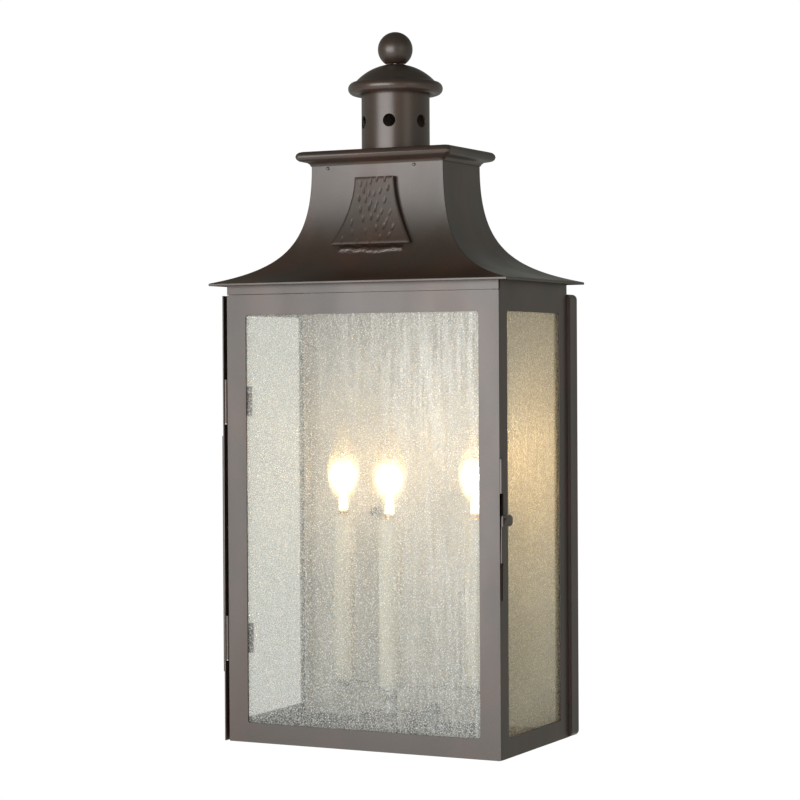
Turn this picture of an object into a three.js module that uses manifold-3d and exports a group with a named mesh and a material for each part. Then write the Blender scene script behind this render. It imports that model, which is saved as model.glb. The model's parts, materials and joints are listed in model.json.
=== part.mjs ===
// Outdoor wall lantern: a sheet-metal box with three seeded windows, a swept roof and a chimney.
// Millimetres. +X is to the right seen from the front, +Y goes into the wall, +Z is up.
// The origin lies on the wall plane, at the middle of the mounting crossbar's rear face.
import * as THREE from 'three';
import { mergeVertices } from 'three/addons/utils/BufferGeometryUtils.js';
import Module from 'manifold-3d';

const wasm = await Module();
wasm.setup();

// ---- Driving dimensions ----------------------------------------------------------------------

const GAP = 0.3; // clearance between pieces that touch
const ROUND = 30; // sides of the large round pieces
const SHEET = 1.5; // painted steel sheet
const THIN_SHEET = 0.8; // reflector and glass retainers

const BODY_WIDTH = 280;
const BODY_DEPTH = 154; // front of the door to the back of the body
const DOOR_HEIGHT = 418.5;
const HEADER_BAND = 8.5; // visible band between the door and the eave
const DOOR_STILE = 20;
const SIDE_STILE = 18;
const BOTTOM_RAIL = 18.2;
const TOP_RAIL = 18.9;
const WINDOW_CORNER = 2.5;
const DOOR_THICKNESS = 3;
const FLANGE_ROOM = 2; // between a side frame's flange and the door's glass retainer
const HEADER_TURN = 14; // depth of the header rail's inward turn

const PAN_DEPTH = 16.4; // wall pan behind the body
const PAN_OVERHANG = 3.5; // on each side of the body
const PAN_DROP = 0.5; // top of the pan below the top of the door
const PAN_CORNER = 5;

const GLASS = 2.5;
const GLASS_LAP = 5; // glass behind its frame, on each side
const RETAINER_RIM = 4.2;
const RETAINER_SIGHT = 2; // retainer's opening beyond its frame's opening, on each side

const TRAY_LIP = 7.5; // upturned edge of the bottom plate
const TRAY_SHEET = 1.2;

const EAVE_OVERHANG = 13;
const EAVE_DEPTH_OVERHANG = 12;
const EAVE_LIP = 2.3;
const NECK_WIDTH = 136.8;
const ROOF_RISE = 111.5; // eave to the foot of the cornice
const ROOF_STEPS = 12;
const ROOF_SAMPLES = 400;
const NECK_FORWARD = 1.2; // neck and chimney ahead of the middle of the body

const CORNICE_OVERHANG = 12.2;
const CORNICE_BEAD = 4.7; // radius of the rolled edge
const CORNICE_SKIRT = 4.1; // cove under the bead
const CORNICE_CORNER = 4;
const CORNICE_COLLAR = 7; // inner collar, down from the foot of the cornice
const COLLAR_SHEET = 1.2;
const COLLAR_ROOM = 0.8; // between the collar and the chimney's flange
const NECK_RIVETS = [-51, 39];
const RIVET_DROP = 2.5; // below the foot of the cornice
const RIVET_RADIUS = 1.1;
const RIVET_HEAD = 1.6;

const BADGE_TOP_WIDTH = 40;
const BADGE_BOTTOM_WIDTH = 83;
const BADGE_DROP = [12.3, 74.5]; // top and bottom edge, down from the foot of the cornice
const BADGE_THICKNESS = 4.6;
const BADGE_FLARE = 1.8; // power of its widening
const BADGE_STAND_OFF = 0.85;

const CHIMNEY_RADIUS = 32;
const CHIMNEY_HEIGHT = 60; // above the cornice
const CHIMNEY_FLANGE = 4;
const VENT_RADIUS = 5.9;
const VENT_HEIGHT = 27.1; // above the cornice
const VENT_ANGLE = 16; // first vent, degrees from the front towards +X
const CAP_ROOM = 0.7; // between the chimney and the cap's bead
const CAP_BEAD = 6;
const CAP_DROP = 0.8; // bead centre below the chimney's rim
const CAP_RISE = 23.3; // dome top above the bead centre
const FINIAL_RADIUS = 16.4;
const FINIAL_SEAT = 9.6;
const ROD_RADIUS = 3;
const ROD_IN_FINIAL = 12;
const ROD_PAST_NUT = 3;
const STRAP_WIDTH = 12;
const STRAP_THICKNESS = 2;
const STRAP_DROP = 14; // strap top below the chimney's rim
const NUT_HEIGHT = 4.7;
const NUT_RADIUS = 5.8;

const HINGE_HEIGHTS = [97, 319]; // middle of each hinge above the door's bottom
const HINGE_LENGTH = 41;
const HINGE_LEAF_LENGTH = 28;
const HINGE_LEAF = 1;
const HINGE_REACH = 23; // door leaf inward of the door's edge
const KNUCKLE_RADIUS = 1.7;
const HINGE_PIN_RADIUS = 0.8;
const HINGE_RUN = 4.4; // pin line to the start of the door leaf
const HINGE_NOTCH = 6; // depth of a side frame's notch at each hinge
const HINGE_SET_BACK = 0.8; // pin line behind the door's face
const JAMB_SHEET = 1.3;
const JAMB_DEPTH = 19;
const JAMB_COVER = [65, 286.5]; // thicker stretch of the jamb
const JAMB_COVER_SHEET = 0.9;

const LATCH_SPAN = [142, 268];
const LATCH_SLOTS = [[142, 175.7], [217, 237.6]];
const LATCH_STRAP_DEPTH = 10;
const LATCH_STRAP_SHEET = 1.3;
const LATCH_STRAP_SET_BACK = 0.4;
const LATCH_BEND = 4.6; // depth of the slots, from the door's face
const LEVER_HEIGHT = 213;
const LEVER_WIDTH = 10;
const LEVER_REACH = 16; // rivet to the start of the round end
const LEVER_PIVOT = 5.5; // rivet behind the door's face
const LEVER_SHEET = 1.3;
const LATCH_RIVET = 1.5;

const LAMPS = { left: [-70, 98], middle: [0, 59], right: [70, 98] }; // across, back from the face
const SLEEVE_TOP = 208;
const SLEEVE_RADIUS = 10.5;
const SLEEVE_WALL = 0.9;
const BRACKET_HEIGHT = 48.3;
const BRACKET_SHEET = 3;
const BRACKET_WIDTH = 16;
const CANOPY_RADIUS = 32;
const CANOPY_HEIGHT = 26;
const CANOPY_WALL = 1.2;
const STEM_RADIUS = 7;
const NIPPLE_RADIUS = 4.7;
const NIPPLE_DROP = 4; // below the bracket
const SOCKET_LENGTH = 44;
const SOCKET_DEPTH = 22.5; // of the hole that takes the bulb base
const BASE_RADIUS = 5.8;
const BASE_EXPOSED = 4;
const BULB_LENGTH = 85;
const BULB_RADIUS = 16;
const BULB_WALL = 0.8;

const LEAD_RADIUS = 2.8;
const LEAD_ROOM = 1.5; // between the grommet's flange and the bottom plate's lip
const GROMMET_FLANGE = 8;
const GROMMET_THICKNESS = 2;

const CROSSBAR = { length: 136, width: 22, thickness: 3 };
const CROSSBAR_SLOT = { spacing: 88.9, length: 16, width: 5 };
const STUD_SPACING = 120;
const STUD_RADIUS = 2.3;
const STUD_FRONT = 7; // stud end in front of the reflector
const GROUND_SCREW_X = 18;
const GROUND_HEAD_RADIUS = 4.2;
const CAP_NUT = { hexRadius: 5, hexHeight: 4.5, domeRadius: 4.1, height: 10 };

// ---- Derived places --------------------------------------------------------------------------

const frontY = -(PAN_DEPTH + BODY_DEPTH);
const backY = -PAN_DEPTH;
const halfWidth = BODY_WIDTH / 2;
const middleY = (frontY + backY) / 2;
const eaveZ = DOOR_HEIGHT + HEADER_BAND;
const corniceZ = eaveZ + ROOF_RISE;
const corniceTop = corniceZ + CORNICE_SKIRT + 2 * CORNICE_BEAD;
const windowBottom = BOTTOM_RAIL;
const windowTop = DOOR_HEIGHT - TOP_RAIL;
const panHeight = DOOR_HEIGHT - PAN_DROP;
const mountZ = panHeight / 2;
const flange = DOOR_STILE - GLASS_LAP - GAP - RETAINER_RIM - FLANGE_ROOM;
const retainerFace = GAP + GLASS + GAP + THIN_SHEET; // from a frame's inner face
const chimneyReach = CHIMNEY_RADIUS + CHIMNEY_FLANGE;
const neckDepth = 2 * (chimneyReach + COLLAR_ROOM + COLLAR_SHEET + GAP + SHEET);
const capRadius = CHIMNEY_RADIUS + CAP_ROOM + 2 * CAP_BEAD;
const hingeOffset = KNUCKLE_RADIUS + GAP;
const leadHeight = TRAY_LIP + LEAD_ROOM + GROMMET_FLANGE;
const boreOf = (radius) => radius + GAP;

// ---- Materials -------------------------------------------------------------------------------

const finish = (color, roughness, metalness) =>
  new THREE.MeshStandardMaterial({ color, roughness, metalness });
const PAINT = finish(0x3a2f29, 0.45, 0.35);
const HAMMERED = finish(0x33261f, 0.4, 0.4);
const BRIGHT = finish(0xc9c9c4, 0.25, 0.9);
const STEEL = finish(0x9a9a98, 0.4, 0.9);
const BRASS = finish(0xb08d4a, 0.35, 0.9);
const CREAM = finish(0xe9e2d0, 0.6, 0);
const RUBBER = finish(0x1c1c1c, 0.8, 0);
const PHENOLIC = finish(0x2a2422, 0.6, 0);
const SEEDED = finish(0xd9dccf, 0.1, 0);
SEEDED.transparent = true;
SEEDED.opacity = 0.4;
const CLEAR = finish(0xfff1d2, 0.05, 0);
CLEAR.transparent = true;
CLEAR.opacity = 0.4;

// ---- Shape helpers ---------------------------------------------------------------------------

function facingOut(geometry) {
  const bare = geometry.clone();
  bare.deleteAttribute('normal');
  bare.deleteAttribute('uv');
  const merged = mergeVertices(bare, 1e-4);
  const points = merged.attributes.position;
  const index = Array.from(merged.index.array);
  const corners = [new THREE.Vector3(), new THREE.Vector3(), new THREE.Vector3()];
  let volume = 0;
  const kept = [];
  for (let i = 0; i < index.length; i += 3) {
    const [a, b, c] = index.slice(i, i + 3);
    if (a === b || b === c || c === a) continue;
    [a, b, c].forEach((vertex, k) => corners[k].fromBufferAttribute(points, vertex));
    volume += corners[0].dot(corners[1].clone().cross(corners[2]));
    kept.push(a, b, c);
  }
  if (volume < 0) kept.reverse();
  merged.setIndex(kept);
  return merged;
}

function solid(geometry) {
  const closed = facingOut(geometry);
  const vertProperties = new Float32Array(closed.attributes.position.array);
  const triVerts = new Uint32Array(closed.index.array);
  return new wasm.Manifold(new wasm.Mesh({ numProp: 3, vertProperties, triVerts }));
}

function geometryOf(manifold) {
  const mesh = manifold.getMesh();
  const geometry = new THREE.BufferGeometry();
  geometry.setAttribute('position', new THREE.BufferAttribute(mesh.vertProperties, 3));
  geometry.setIndex(Array.from(mesh.triVerts));
  return geometry;
}

const cut = (body, ...tools) =>
  geometryOf(tools.reduce((left, tool) => left.subtract(solid(tool)), solid(body)));
const join = (body, ...more) =>
  geometryOf(more.reduce((sum, piece) => sum.add(solid(piece)), solid(body)));

function box([x0, x1], [y0, y1], [z0, z1]) {
  const geometry = new THREE.BoxGeometry(Math.abs(x1 - x0), Math.abs(y1 - y0), Math.abs(z1 - z0));
  return geometry.translate((x0 + x1) / 2, (y0 + y1) / 2, (z0 + z1) / 2);
}

function roundedRectangle(x0, y0, x1, y1, radius, Kind = THREE.Shape) {
  const outline = new Kind();
  outline.moveTo(x0 + radius, y0);
  outline.lineTo(x1 - radius, y0);
  outline.absarc(x1 - radius, y0 + radius, radius, -Math.PI / 2, 0);
  outline.lineTo(x1, y1 - radius);
  outline.absarc(x1 - radius, y1 - radius, radius, 0, Math.PI / 2);
  outline.lineTo(x0 + radius, y1);
  outline.absarc(x0 + radius, y1 - radius, radius, Math.PI / 2, Math.PI);
  outline.lineTo(x0, y0 + radius);
  outline.absarc(x0 + radius, y0 + radius, radius, Math.PI, 1.5 * Math.PI);
  return outline;
}

// A shape drawn in X and Z, with its thickness from y0 to y1.
function upright(shape, [y0, y1], curveSegments = 3) {
  const geometry = new THREE.ExtrudeGeometry(shape, { depth: y1 - y0, bevelEnabled: false, curveSegments });
  return geometry.rotateX(Math.PI / 2).translate(0, y1, 0);
}

// A shape drawn in X and Y, with its thickness from z0 to z1.
function flat(shape, [z0, z1], curveSegments = 6) {
  const geometry = new THREE.ExtrudeGeometry(shape, { depth: z1 - z0, bevelEnabled: false, curveSegments });
  return geometry.translate(0, 0, z0);
}

// A turned shape on the Z axis, from [radius, height] pairs.
function turned(profile, segments = 16) {
  const points = profile.map(([radius, height]) => new THREE.Vector2(radius, height));
  const onAxis = points[0].x === 0 && points.at(-1).x === 0;
  if (!onAxis) points.push(points[0].clone());
  return new THREE.LatheGeometry(points, segments).rotateX(Math.PI / 2);
}

// The same shape with its axis along +X or +Y.
const turnedAlongX = (profile, segments) => turned(profile, segments).rotateY(Math.PI / 2);
const turnedAlongY = (profile, segments) => turned(profile, segments).rotateX(-Math.PI / 2);
const rod = (radius, [from, to]) => [[0, from], [radius, from], [radius, to], [0, to]];
const pipe = (inner, outer, [from, to]) => [[inner, from], [outer, from], [outer, to], [inner, to]];

// A closed skin over rings that hold the same number of points. A looped skin joins its last
// ring to its first; any other skin gets a flat end on each.
function skin(rings, looped) {
  const count = rings[0].length;
  const index = [];
  const last = looped ? rings.length : rings.length - 1;
  for (let ring = 0; ring < last; ring += 1) {
    const here = ring * count;
    const next = ((ring + 1) % rings.length) * count;
    for (let i = 0; i < count; i += 1) {
      const j = (i + 1) % count;
      index.push(here + i, here + j, next + j, here + i, next + j, next + i);
    }
  }
  if (!looped) {
    const top = (rings.length - 1) * count;
    for (let i = 1; i < count - 1; i += 1) {
      index.push(0, i + 1, i, top, top + i, top + i + 1);
    }
  }
  const geometry = new THREE.BufferGeometry();
  geometry.setAttribute('position', new THREE.Float32BufferAttribute(rings.flat(2), 3));
  geometry.setIndex(index);
  return geometry;
}

const rectangleRing = (halfX, halfY, z, shift = 0) =>
  [[-halfX, -halfY], [halfX, -halfY], [halfX, halfY], [-halfX, halfY]].map(([x, y]) => [x, y + shift, z]);

function roundedRing(halfX, halfY, z, radius) {
  const outline = roundedRectangle(-halfX, -halfY, halfX, halfY, radius);
  return outline.getPoints(3).slice(0, -1).map((point) => [point.x, point.y, z]);
}

// ---- Assembly --------------------------------------------------------------------------------

const lantern = new THREE.Group();
lantern.position.z = -mountZ;

function add(name, geometry, material, parent = lantern) {
  const mesh = new THREE.Mesh(facingOut(geometry), material);
  mesh.name = name;
  parent.add(mesh);
  return mesh;
}

function placed(x, y, z, turn = 0) {
  const group = new THREE.Group();
  group.position.set(x, y, z);
  group.rotation.z = turn;
  lantern.add(group);
  return group;
}

// ---- Roof profile ----------------------------------------------------------------------------

const neckHalfX = NECK_WIDTH / 2;
const neckHalfY = neckDepth / 2;
const eaveHalfX = halfWidth + EAVE_OVERHANG;
const eaveHalfY = BODY_DEPTH / 2 + EAVE_DEPTH_OVERHANG;

// Spread goes from 1 at the eave to 0 at the neck while the height rises.
const sweep = new THREE.CubicBezierCurve(
  new THREE.Vector2(1, eaveZ + EAVE_LIP),
  new THREE.Vector2(0.275, eaveZ + 0.14 * ROOF_RISE),
  new THREE.Vector2(0, eaveZ + 0.335 * ROOF_RISE),
  new THREE.Vector2(0, corniceZ),
);

const spreadX = (spread) => neckHalfX + spread * (eaveHalfX - neckHalfX);
const spreadY = (spread) => neckHalfY + spread * (eaveHalfY - neckHalfY);

// A point on the roof, moved out along the normals of its side and front slopes.
function roofPoint(step, offset) {
  const before = sweep.getPoint(Math.max(step - 0.01, 0));
  const after = sweep.getPoint(Math.min(step + 0.01, 1));
  const rise = after.y - before.y;
  const slide = before.x - after.x;
  const outX = new THREE.Vector2(rise, slide * (eaveHalfX - neckHalfX)).normalize();
  const outY = new THREE.Vector2(rise, slide * (eaveHalfY - neckHalfY)).normalize();
  const { x: spread, y: height } = sweep.getPoint(step);
  const lift = Math.min(outX.y, outY.y);
  return {
    halfX: spreadX(spread) + offset * outX.x,
    halfY: spreadY(spread) + offset * outY.x,
    shift: -NECK_FORWARD * (1 - spread),
    z: height + offset * lift,
  };
}

const roofSteps = Array.from({ length: ROOF_STEPS + 1 }, (_, i) => i / ROOF_STEPS);
const roofOuter = roofSteps.map((step) => roofPoint(step, 0));
const roofInner = roofSteps.map((step) => roofPoint(step, -SHEET));

// Height at which the roof has drawn in to a given half width (halfX) or half depth (halfY).
function roofHeightAt(half, key) {
  for (let i = 0; i < ROOF_SAMPLES; i += 1) {
    const point = roofPoint(i / ROOF_SAMPLES, 0);
    if (point[key] <= half) return point.z;
  }
  return corniceZ;
}

// Y of the roof's front face at a given height, from the middle of the body.
function roofFrontAt(z) {
  const next = roofOuter.findIndex((point) => point.z >= z);
  const [below, above] = [roofOuter[next - 1], roofOuter[next]];
  const part = (z - below.z) / (above.z - below.z);
  const front = (point) => point.shift - point.halfY;
  return front(below) + part * (front(above) - front(below));
}

const bodyTop = Math.min(roofHeightAt(halfWidth, 'halfX'), roofHeightAt(BODY_DEPTH / 2, 'halfY'))
  - 1.1 * SHEET - GAP;

// ---- Wall pan, back and bottom ---------------------------------------------------------------

const grommetHole = GROMMET_FLANGE - 2;
const panFront = backY + GAP;
const panelBack = backY - SHEET - 2 * GAP;
const reflectorBack = panelBack - SHEET - GAP;
const reflectorFront = reflectorBack - THIN_SHEET;

// Holes through the three upright sheets: one for each mounting stud, one for the grommet.
function sheetHoles([y0, y1]) {
  const depth = [y0 - 1, y1 + 1];
  const studs = [-1, 1].map((side) =>
    turnedAlongY(rod(boreOf(STUD_RADIUS), depth), 16).translate((side * STUD_SPACING) / 2, 0, mountZ));
  const lead = turnedAlongY(rod(grommetHole, depth), 16).translate(0, 0, leadHeight);
  return [...studs, lead];
}

function wallPan() {
  const half = halfWidth + PAN_OVERHANG;
  const inner = half - SHEET;
  const outer = upright(roundedRectangle(-half, 0, half, panHeight, PAN_CORNER), [panFront, 0]);
  const inside = roundedRectangle(-inner, SHEET, inner, panHeight - SHEET, PAN_CORNER - SHEET);
  const hollow = upright(inside, [panFront + SHEET, 1]);
  add('wall_pan', cut(outer, hollow, ...sheetHoles([panFront, panFront + SHEET])), PAINT);
}

function backPanel() {
  const half = halfWidth - SHEET - GAP;
  const depth = [panelBack - SHEET, panelBack];
  const sheet = box([-half, half], depth, [0, bodyTop]);
  add('back_panel', cut(sheet, ...sheetHoles(depth)), PAINT);
}

// The reflector's two wings turn forward and cover the rear stiles of the side frames.
function reflector() {
  const half = halfWidth - SHEET - retainerFace - GAP;
  const depth = [reflectorFront, reflectorBack];
  const height = [TRAY_LIP + GAP, bodyTop - SHEET];
  const sheet = box([-half, half], depth, height);
  const wings = [-1, 1].map((side) =>
    box([side * (half - THIN_SHEET), side * half], [backY - SIDE_STILE, reflectorBack], height));
  add('reflector_plate', cut(join(sheet, ...wings), ...sheetHoles(depth)), BRIGHT);
}

const sideFront = frontY + DOOR_THICKNESS + GAP;
const trayFront = sideFront + SHEET + GAP;

function bottomPlate() {
  const half = halfWidth - SHEET - GAP;
  const inner = half - TRAY_SHEET;
  const depth = [trayFront + TRAY_SHEET, reflectorBack - TRAY_SHEET];
  const outer = box([-half, half], [trayFront, reflectorBack], [0, TRAY_LIP]);
  const inside = box([-inner, inner], depth, [SHEET, TRAY_LIP + 1]);
  add('bottom_plate', cut(outer, inside), PAINT);
}

// ---- Side frames and header ------------------------------------------------------------------

const hingeX = -halfWidth - hingeOffset;
const hingeY = frontY + HINGE_SET_BACK;

function hingeNotches() {
  const half = HINGE_LEAF_LENGTH / 2 + 1;
  const across = [-halfWidth - 1, -halfWidth + flange + 1];
  const depth = [sideFront - 1, sideFront + HINGE_NOTCH];
  return HINGE_HEIGHTS.map((z) => box(across, depth, [z - half, z + half]));
}

function sideFrame(name, side) {
  const outer = side * halfWidth;
  const inner = side * (halfWidth - SHEET);
  const turn = side * (halfWidth - flange);
  const overlap = side * (halfWidth - 0.4 * SHEET);
  const web = box([inner, outer], [sideFront, backY], [0, bodyTop]);
  const front = box([turn, overlap], [sideFront, sideFront + SHEET], [0, bodyTop]);
  const rear = box([turn, overlap], [backY - SHEET, backY], [0, bodyTop]);
  const opening = roundedRectangle(
    frontY + SIDE_STILE, windowBottom, backY - SIDE_STILE, windowTop, WINDOW_CORNER,
  );
  const punch = upright(opening, [-1, 2 * SHEET]).rotateZ(side * Math.PI / 2);
  const hole = side > 0
    ? punch.translate(halfWidth, 0, 0)
    : punch.translate(-halfWidth, frontY + backY, 0);
  const blank = join(web, front, rear);
  const notches = side < 0 ? hingeNotches() : [];
  add(name, cut(blank, hole, ...notches), PAINT);
}

function headerRail() {
  const bottom = DOOR_HEIGHT + GAP;
  const face = box([-halfWidth, halfWidth], [frontY, frontY + SHEET], [bottom, bodyTop]);
  const inner = halfWidth - flange - GAP;
  const depth = [frontY + 0.5 * SHEET, frontY + HEADER_TURN];
  const turn = box([-inner, inner], depth, [bodyTop - SHEET, bodyTop]);
  add('header_rail', join(face, turn), PAINT);
}

// ---- Windows ---------------------------------------------------------------------------------
// Each window is drawn in its own frame: X across, Y from the frame's inner face into the
// chamber, Z up.

function glazing(prefix, halfOpening, parent) {
  const glassHalf = halfOpening + GLASS_LAP;
  const glassDepth = [GAP, GAP + GLASS];
  const glassHeight = [windowBottom - GLASS_LAP, windowTop + GLASS_LAP];
  add(`${prefix}_glass`, box([-glassHalf, glassHalf], glassDepth, glassHeight), SEEDED, parent);
  const rimHalf = glassHalf + GAP + RETAINER_RIM;
  const rimHeight = [glassHeight[0] - GAP - RETAINER_RIM, glassHeight[1] + GAP + RETAINER_RIM];
  const rimDepth = [GAP, retainerFace];
  const rim = box([-rimHalf, rimHalf], rimDepth, rimHeight);
  const seat = box(
    [-glassHalf - GAP, glassHalf + GAP],
    [0, glassDepth[1] + GAP],
    [glassHeight[0] - GAP, glassHeight[1] + GAP],
  );
  const sightHalf = halfOpening + RETAINER_SIGHT;
  const sightHeight = [windowBottom - RETAINER_SIGHT, windowTop + RETAINER_SIGHT];
  const sight = box([-sightHalf, sightHalf], [0, rimDepth[1] + 1], sightHeight);
  add(`${prefix}_glass_retainer`, cut(rim, seat, sight), PAINT, parent);
}

const sideOpeningHalf = BODY_DEPTH / 2 - SIDE_STILE;

function windows() {
  const inset = halfWidth - SHEET;
  glazing('left', sideOpeningHalf, placed(-inset, middleY, 0, -Math.PI / 2));
  glazing('right', sideOpeningHalf, placed(inset, middleY, 0, Math.PI / 2));
  glazing('door', halfWidth - DOOR_STILE, placed(0, frontY + SHEET, 0));
}

// ---- Door and latch --------------------------------------------------------------------------

const strapInner = halfWidth + GAP;
const strapOuter = strapInner + LATCH_STRAP_SHEET;
const leverInner = strapOuter + GAP;
const leverOuter = leverInner + LEVER_SHEET;
const pivotY = frontY + LEVER_PIVOT;

function doorFrame() {
  const shape = roundedRectangle(-halfWidth, 0, halfWidth, DOOR_HEIGHT, 1);
  const half = halfWidth - DOOR_STILE;
  shape.holes.push(roundedRectangle(-half, windowBottom, half, windowTop, WINDOW_CORNER, THREE.Path));
  const plate = upright(shape, [frontY, frontY + DOOR_THICKNESS]);
  const pocket = box(
    [-halfWidth + SHEET, halfWidth - SHEET],
    [frontY + SHEET, frontY + DOOR_THICKNESS + 1],
    [SHEET, DOOR_HEIGHT - SHEET],
  );
  const knuckle = HINGE_LENGTH / 6 + 2 * GAP;
  const clear = HINGE_HEIGHTS.map((z) =>
    box(
      [-halfWidth - 1, -halfWidth + 2 * SHEET],
      [frontY + SHEET, frontY + DOOR_THICKNESS + 1],
      [z - knuckle, z + knuckle],
    ));
  const strapFront = frontY + LATCH_STRAP_SET_BACK;
  const strap = box([strapInner, strapOuter], [strapFront, frontY + LATCH_STRAP_DEPTH], LATCH_SPAN);
  const bendDepth = [strapFront, frontY + 0.9 * DOOR_THICKNESS];
  const bend = box([halfWidth - 0.7 * SHEET, strapOuter], bendDepth, LATCH_SPAN);
  const slots = LATCH_SLOTS.map(([low, high]) =>
    box([halfWidth + 0.001, strapOuter + 1], [frontY - 1, frontY + LATCH_BEND], [low - 0.01, high]));
  const pivot = turnedAlongX(rod(boreOf(LATCH_RIVET), [halfWidth - 0.2, strapOuter + 1]), 16);
  const door = join(cut(plate, pocket), bend, strap);
  add('door_frame', cut(door, ...slots, ...clear, pivot.translate(0, pivotY, LEVER_HEIGHT)), PAINT);
}

function latch() {
  const half = LEVER_WIDTH / 2;
  const outline = new THREE.Shape();
  outline.moveTo(-LEVER_PIVOT, -half);
  outline.lineTo(LEVER_REACH - half, -half);
  outline.absarc(LEVER_REACH - half, 0, half, -Math.PI / 2, Math.PI / 2);
  outline.lineTo(-LEVER_PIVOT, half);
  outline.lineTo(-LEVER_PIVOT, -half);
  const plate = upright(outline, [-LEVER_SHEET, 0], 8).rotateZ(Math.PI / 2);
  const bore = turnedAlongX(rod(boreOf(LATCH_RIVET), [-1, LEVER_SHEET + 1]), 16);
  const group = placed(leverInner, pivotY, LEVER_HEIGHT);
  add('latch_lever', cut(plate, bore), PAINT, group);
  const head = leverOuter + GAP - leverInner;
  const rivet = [
    [0, strapInner + 0.1 - leverInner],
    [LATCH_RIVET, strapInner + 0.1 - leverInner],
    [LATCH_RIVET, head],
    [2 * LATCH_RIVET, head],
    [1.6 * LATCH_RIVET, head + 0.9],
    [0, head + 1.2],
  ];
  add('latch_rivet', turnedAlongX(rivet, 16), PAINT, group);
}

// ---- Hinges ----------------------------------------------------------------------------------

function hingeJamb() {
  const outer = -halfWidth - 2 * hingeOffset - JAMB_SHEET;
  const inner = outer + JAMB_SHEET;
  const back = frontY + JAMB_DEPTH;
  const leg = box([outer, inner], [frontY, back], [0, panHeight]);
  const web = box([outer + 0.4, -halfWidth - GAP], [back - JAMB_SHEET, back], [0, panHeight]);
  const cover = box([outer - JAMB_COVER_SHEET, outer + 0.5], [frontY, back - 1], JAMB_COVER);
  add('hinge_jamb', join(leg, web, cover), PAINT);
}

function hinge(prefix, height) {
  const third = HINGE_LENGTH / 3;
  const start = -HINGE_LENGTH / 2;
  const bore = HINGE_PIN_RADIUS + GAP;
  const barrel = (from, to) => turned(pipe(bore, KNUCKLE_RADIUS, [from, to]), 16);
  const group = placed(hingeX, hingeY, height);
  const pinHead = [[0, start - 1], [KNUCKLE_RADIUS, start - 1], [KNUCKLE_RADIUS, start - GAP]];
  const pinBody = [[HINGE_PIN_RADIUS, start - GAP], [HINGE_PIN_RADIUS, -start], [0, -start]];
  add(`${prefix}_hinge_pin`, turned([...pinHead, ...pinBody], 16), STEEL, group);

  const leafX = -hingeOffset + GAP;
  const bodyLeaf = box([leafX, leafX + HINGE_LEAF * 0.5], [0, JAMB_DEPTH - 5], [start, -start]);
  const wide = KNUCKLE_RADIUS + 1;
  const high = third / 2 + GAP;
  const space = box([leafX - 1, wide], [-wide, wide], [-high, high]);
  const clearBore = turned(rod(bore, [start - 1, 1 - start]), 16);
  const body = join(bodyLeaf, barrel(start, -start));
  add(`${prefix}_hinge_body_leaf`, cut(body, space, clearBore), PAINT, group);

  const back = SHEET + GAP + GLASS + GAP + THIN_SHEET + GAP - HINGE_SET_BACK;
  const inward = hingeOffset + HINGE_REACH;
  const leafHalf = HINGE_LEAF_LENGTH / 2;
  const leafDepth = [back, back + HINGE_LEAF];
  const leaf = box([HINGE_RUN - 0.5 * HINGE_LEAF, inward], leafDepth, [-leafHalf, leafHalf]);
  const arm = new THREE.Shape([
    new THREE.Vector2(0.25 * KNUCKLE_RADIUS, 0.6 * KNUCKLE_RADIUS),
    new THREE.Vector2(0.75 * KNUCKLE_RADIUS, 0.53 * KNUCKLE_RADIUS),
    new THREE.Vector2(hingeOffset, SHEET - HINGE_SET_BACK + 1.5 * GAP),
    new THREE.Vector2(HINGE_RUN + HINGE_LEAF, back),
    new THREE.Vector2(HINGE_RUN + HINGE_LEAF, back + HINGE_LEAF),
    new THREE.Vector2(HINGE_RUN - 0.4 * HINGE_LEAF, back + HINGE_LEAF),
  ]);
  const elbow = flat(arm, [-third / 2, third / 2]);
  const door = join(barrel(-third / 2, third / 2), elbow, leaf);
  add(`${prefix}_hinge_door_leaf`, cut(door, clearBore), PAINT, group);
}

function hinges() {
  hingeJamb();
  hinge('lower', HINGE_HEIGHTS[0]);
  hinge('upper', HINGE_HEIGHTS[1]);
}

// ---- Roof, cornice and badge -----------------------------------------------------------------

const corniceUnderside = corniceTop - SHEET;
const roof = placed(0, middleY, 0);
const crown = placed(0, middleY - NECK_FORWARD, 0);

const rivetHoles = (y) => NECK_RIVETS.map((x) =>
  turnedAlongY(rod(boreOf(RIVET_RADIUS), [y - 5, y + 6]), 12).translate(x, 0, corniceZ - RIVET_DROP));

function roofShell() {
  const ring = ({ halfX, halfY, z, shift }) => rectangleRing(halfX, halfY, z, shift);
  const top = corniceUnderside - GAP;
  const rings = [
    rectangleRing(eaveHalfX, eaveHalfY, eaveZ),
    ...roofOuter.map(ring),
    rectangleRing(neckHalfX, neckHalfY, top, -NECK_FORWARD),
    rectangleRing(neckHalfX - SHEET, neckHalfY - SHEET, top, -NECK_FORWARD),
    ...roofInner.slice(1).reverse().map(ring),
    rectangleRing(eaveHalfX - SHEET, eaveHalfY - SHEET, eaveZ + EAVE_LIP - 0.8 * SHEET),
    rectangleRing(eaveHalfX - SHEET, eaveHalfY - SHEET, eaveZ),
  ];
  add('roof_shell', cut(skin(rings, true), ...rivetHoles(-neckHalfY - NECK_FORWARD)), PAINT, roof);
}

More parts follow.
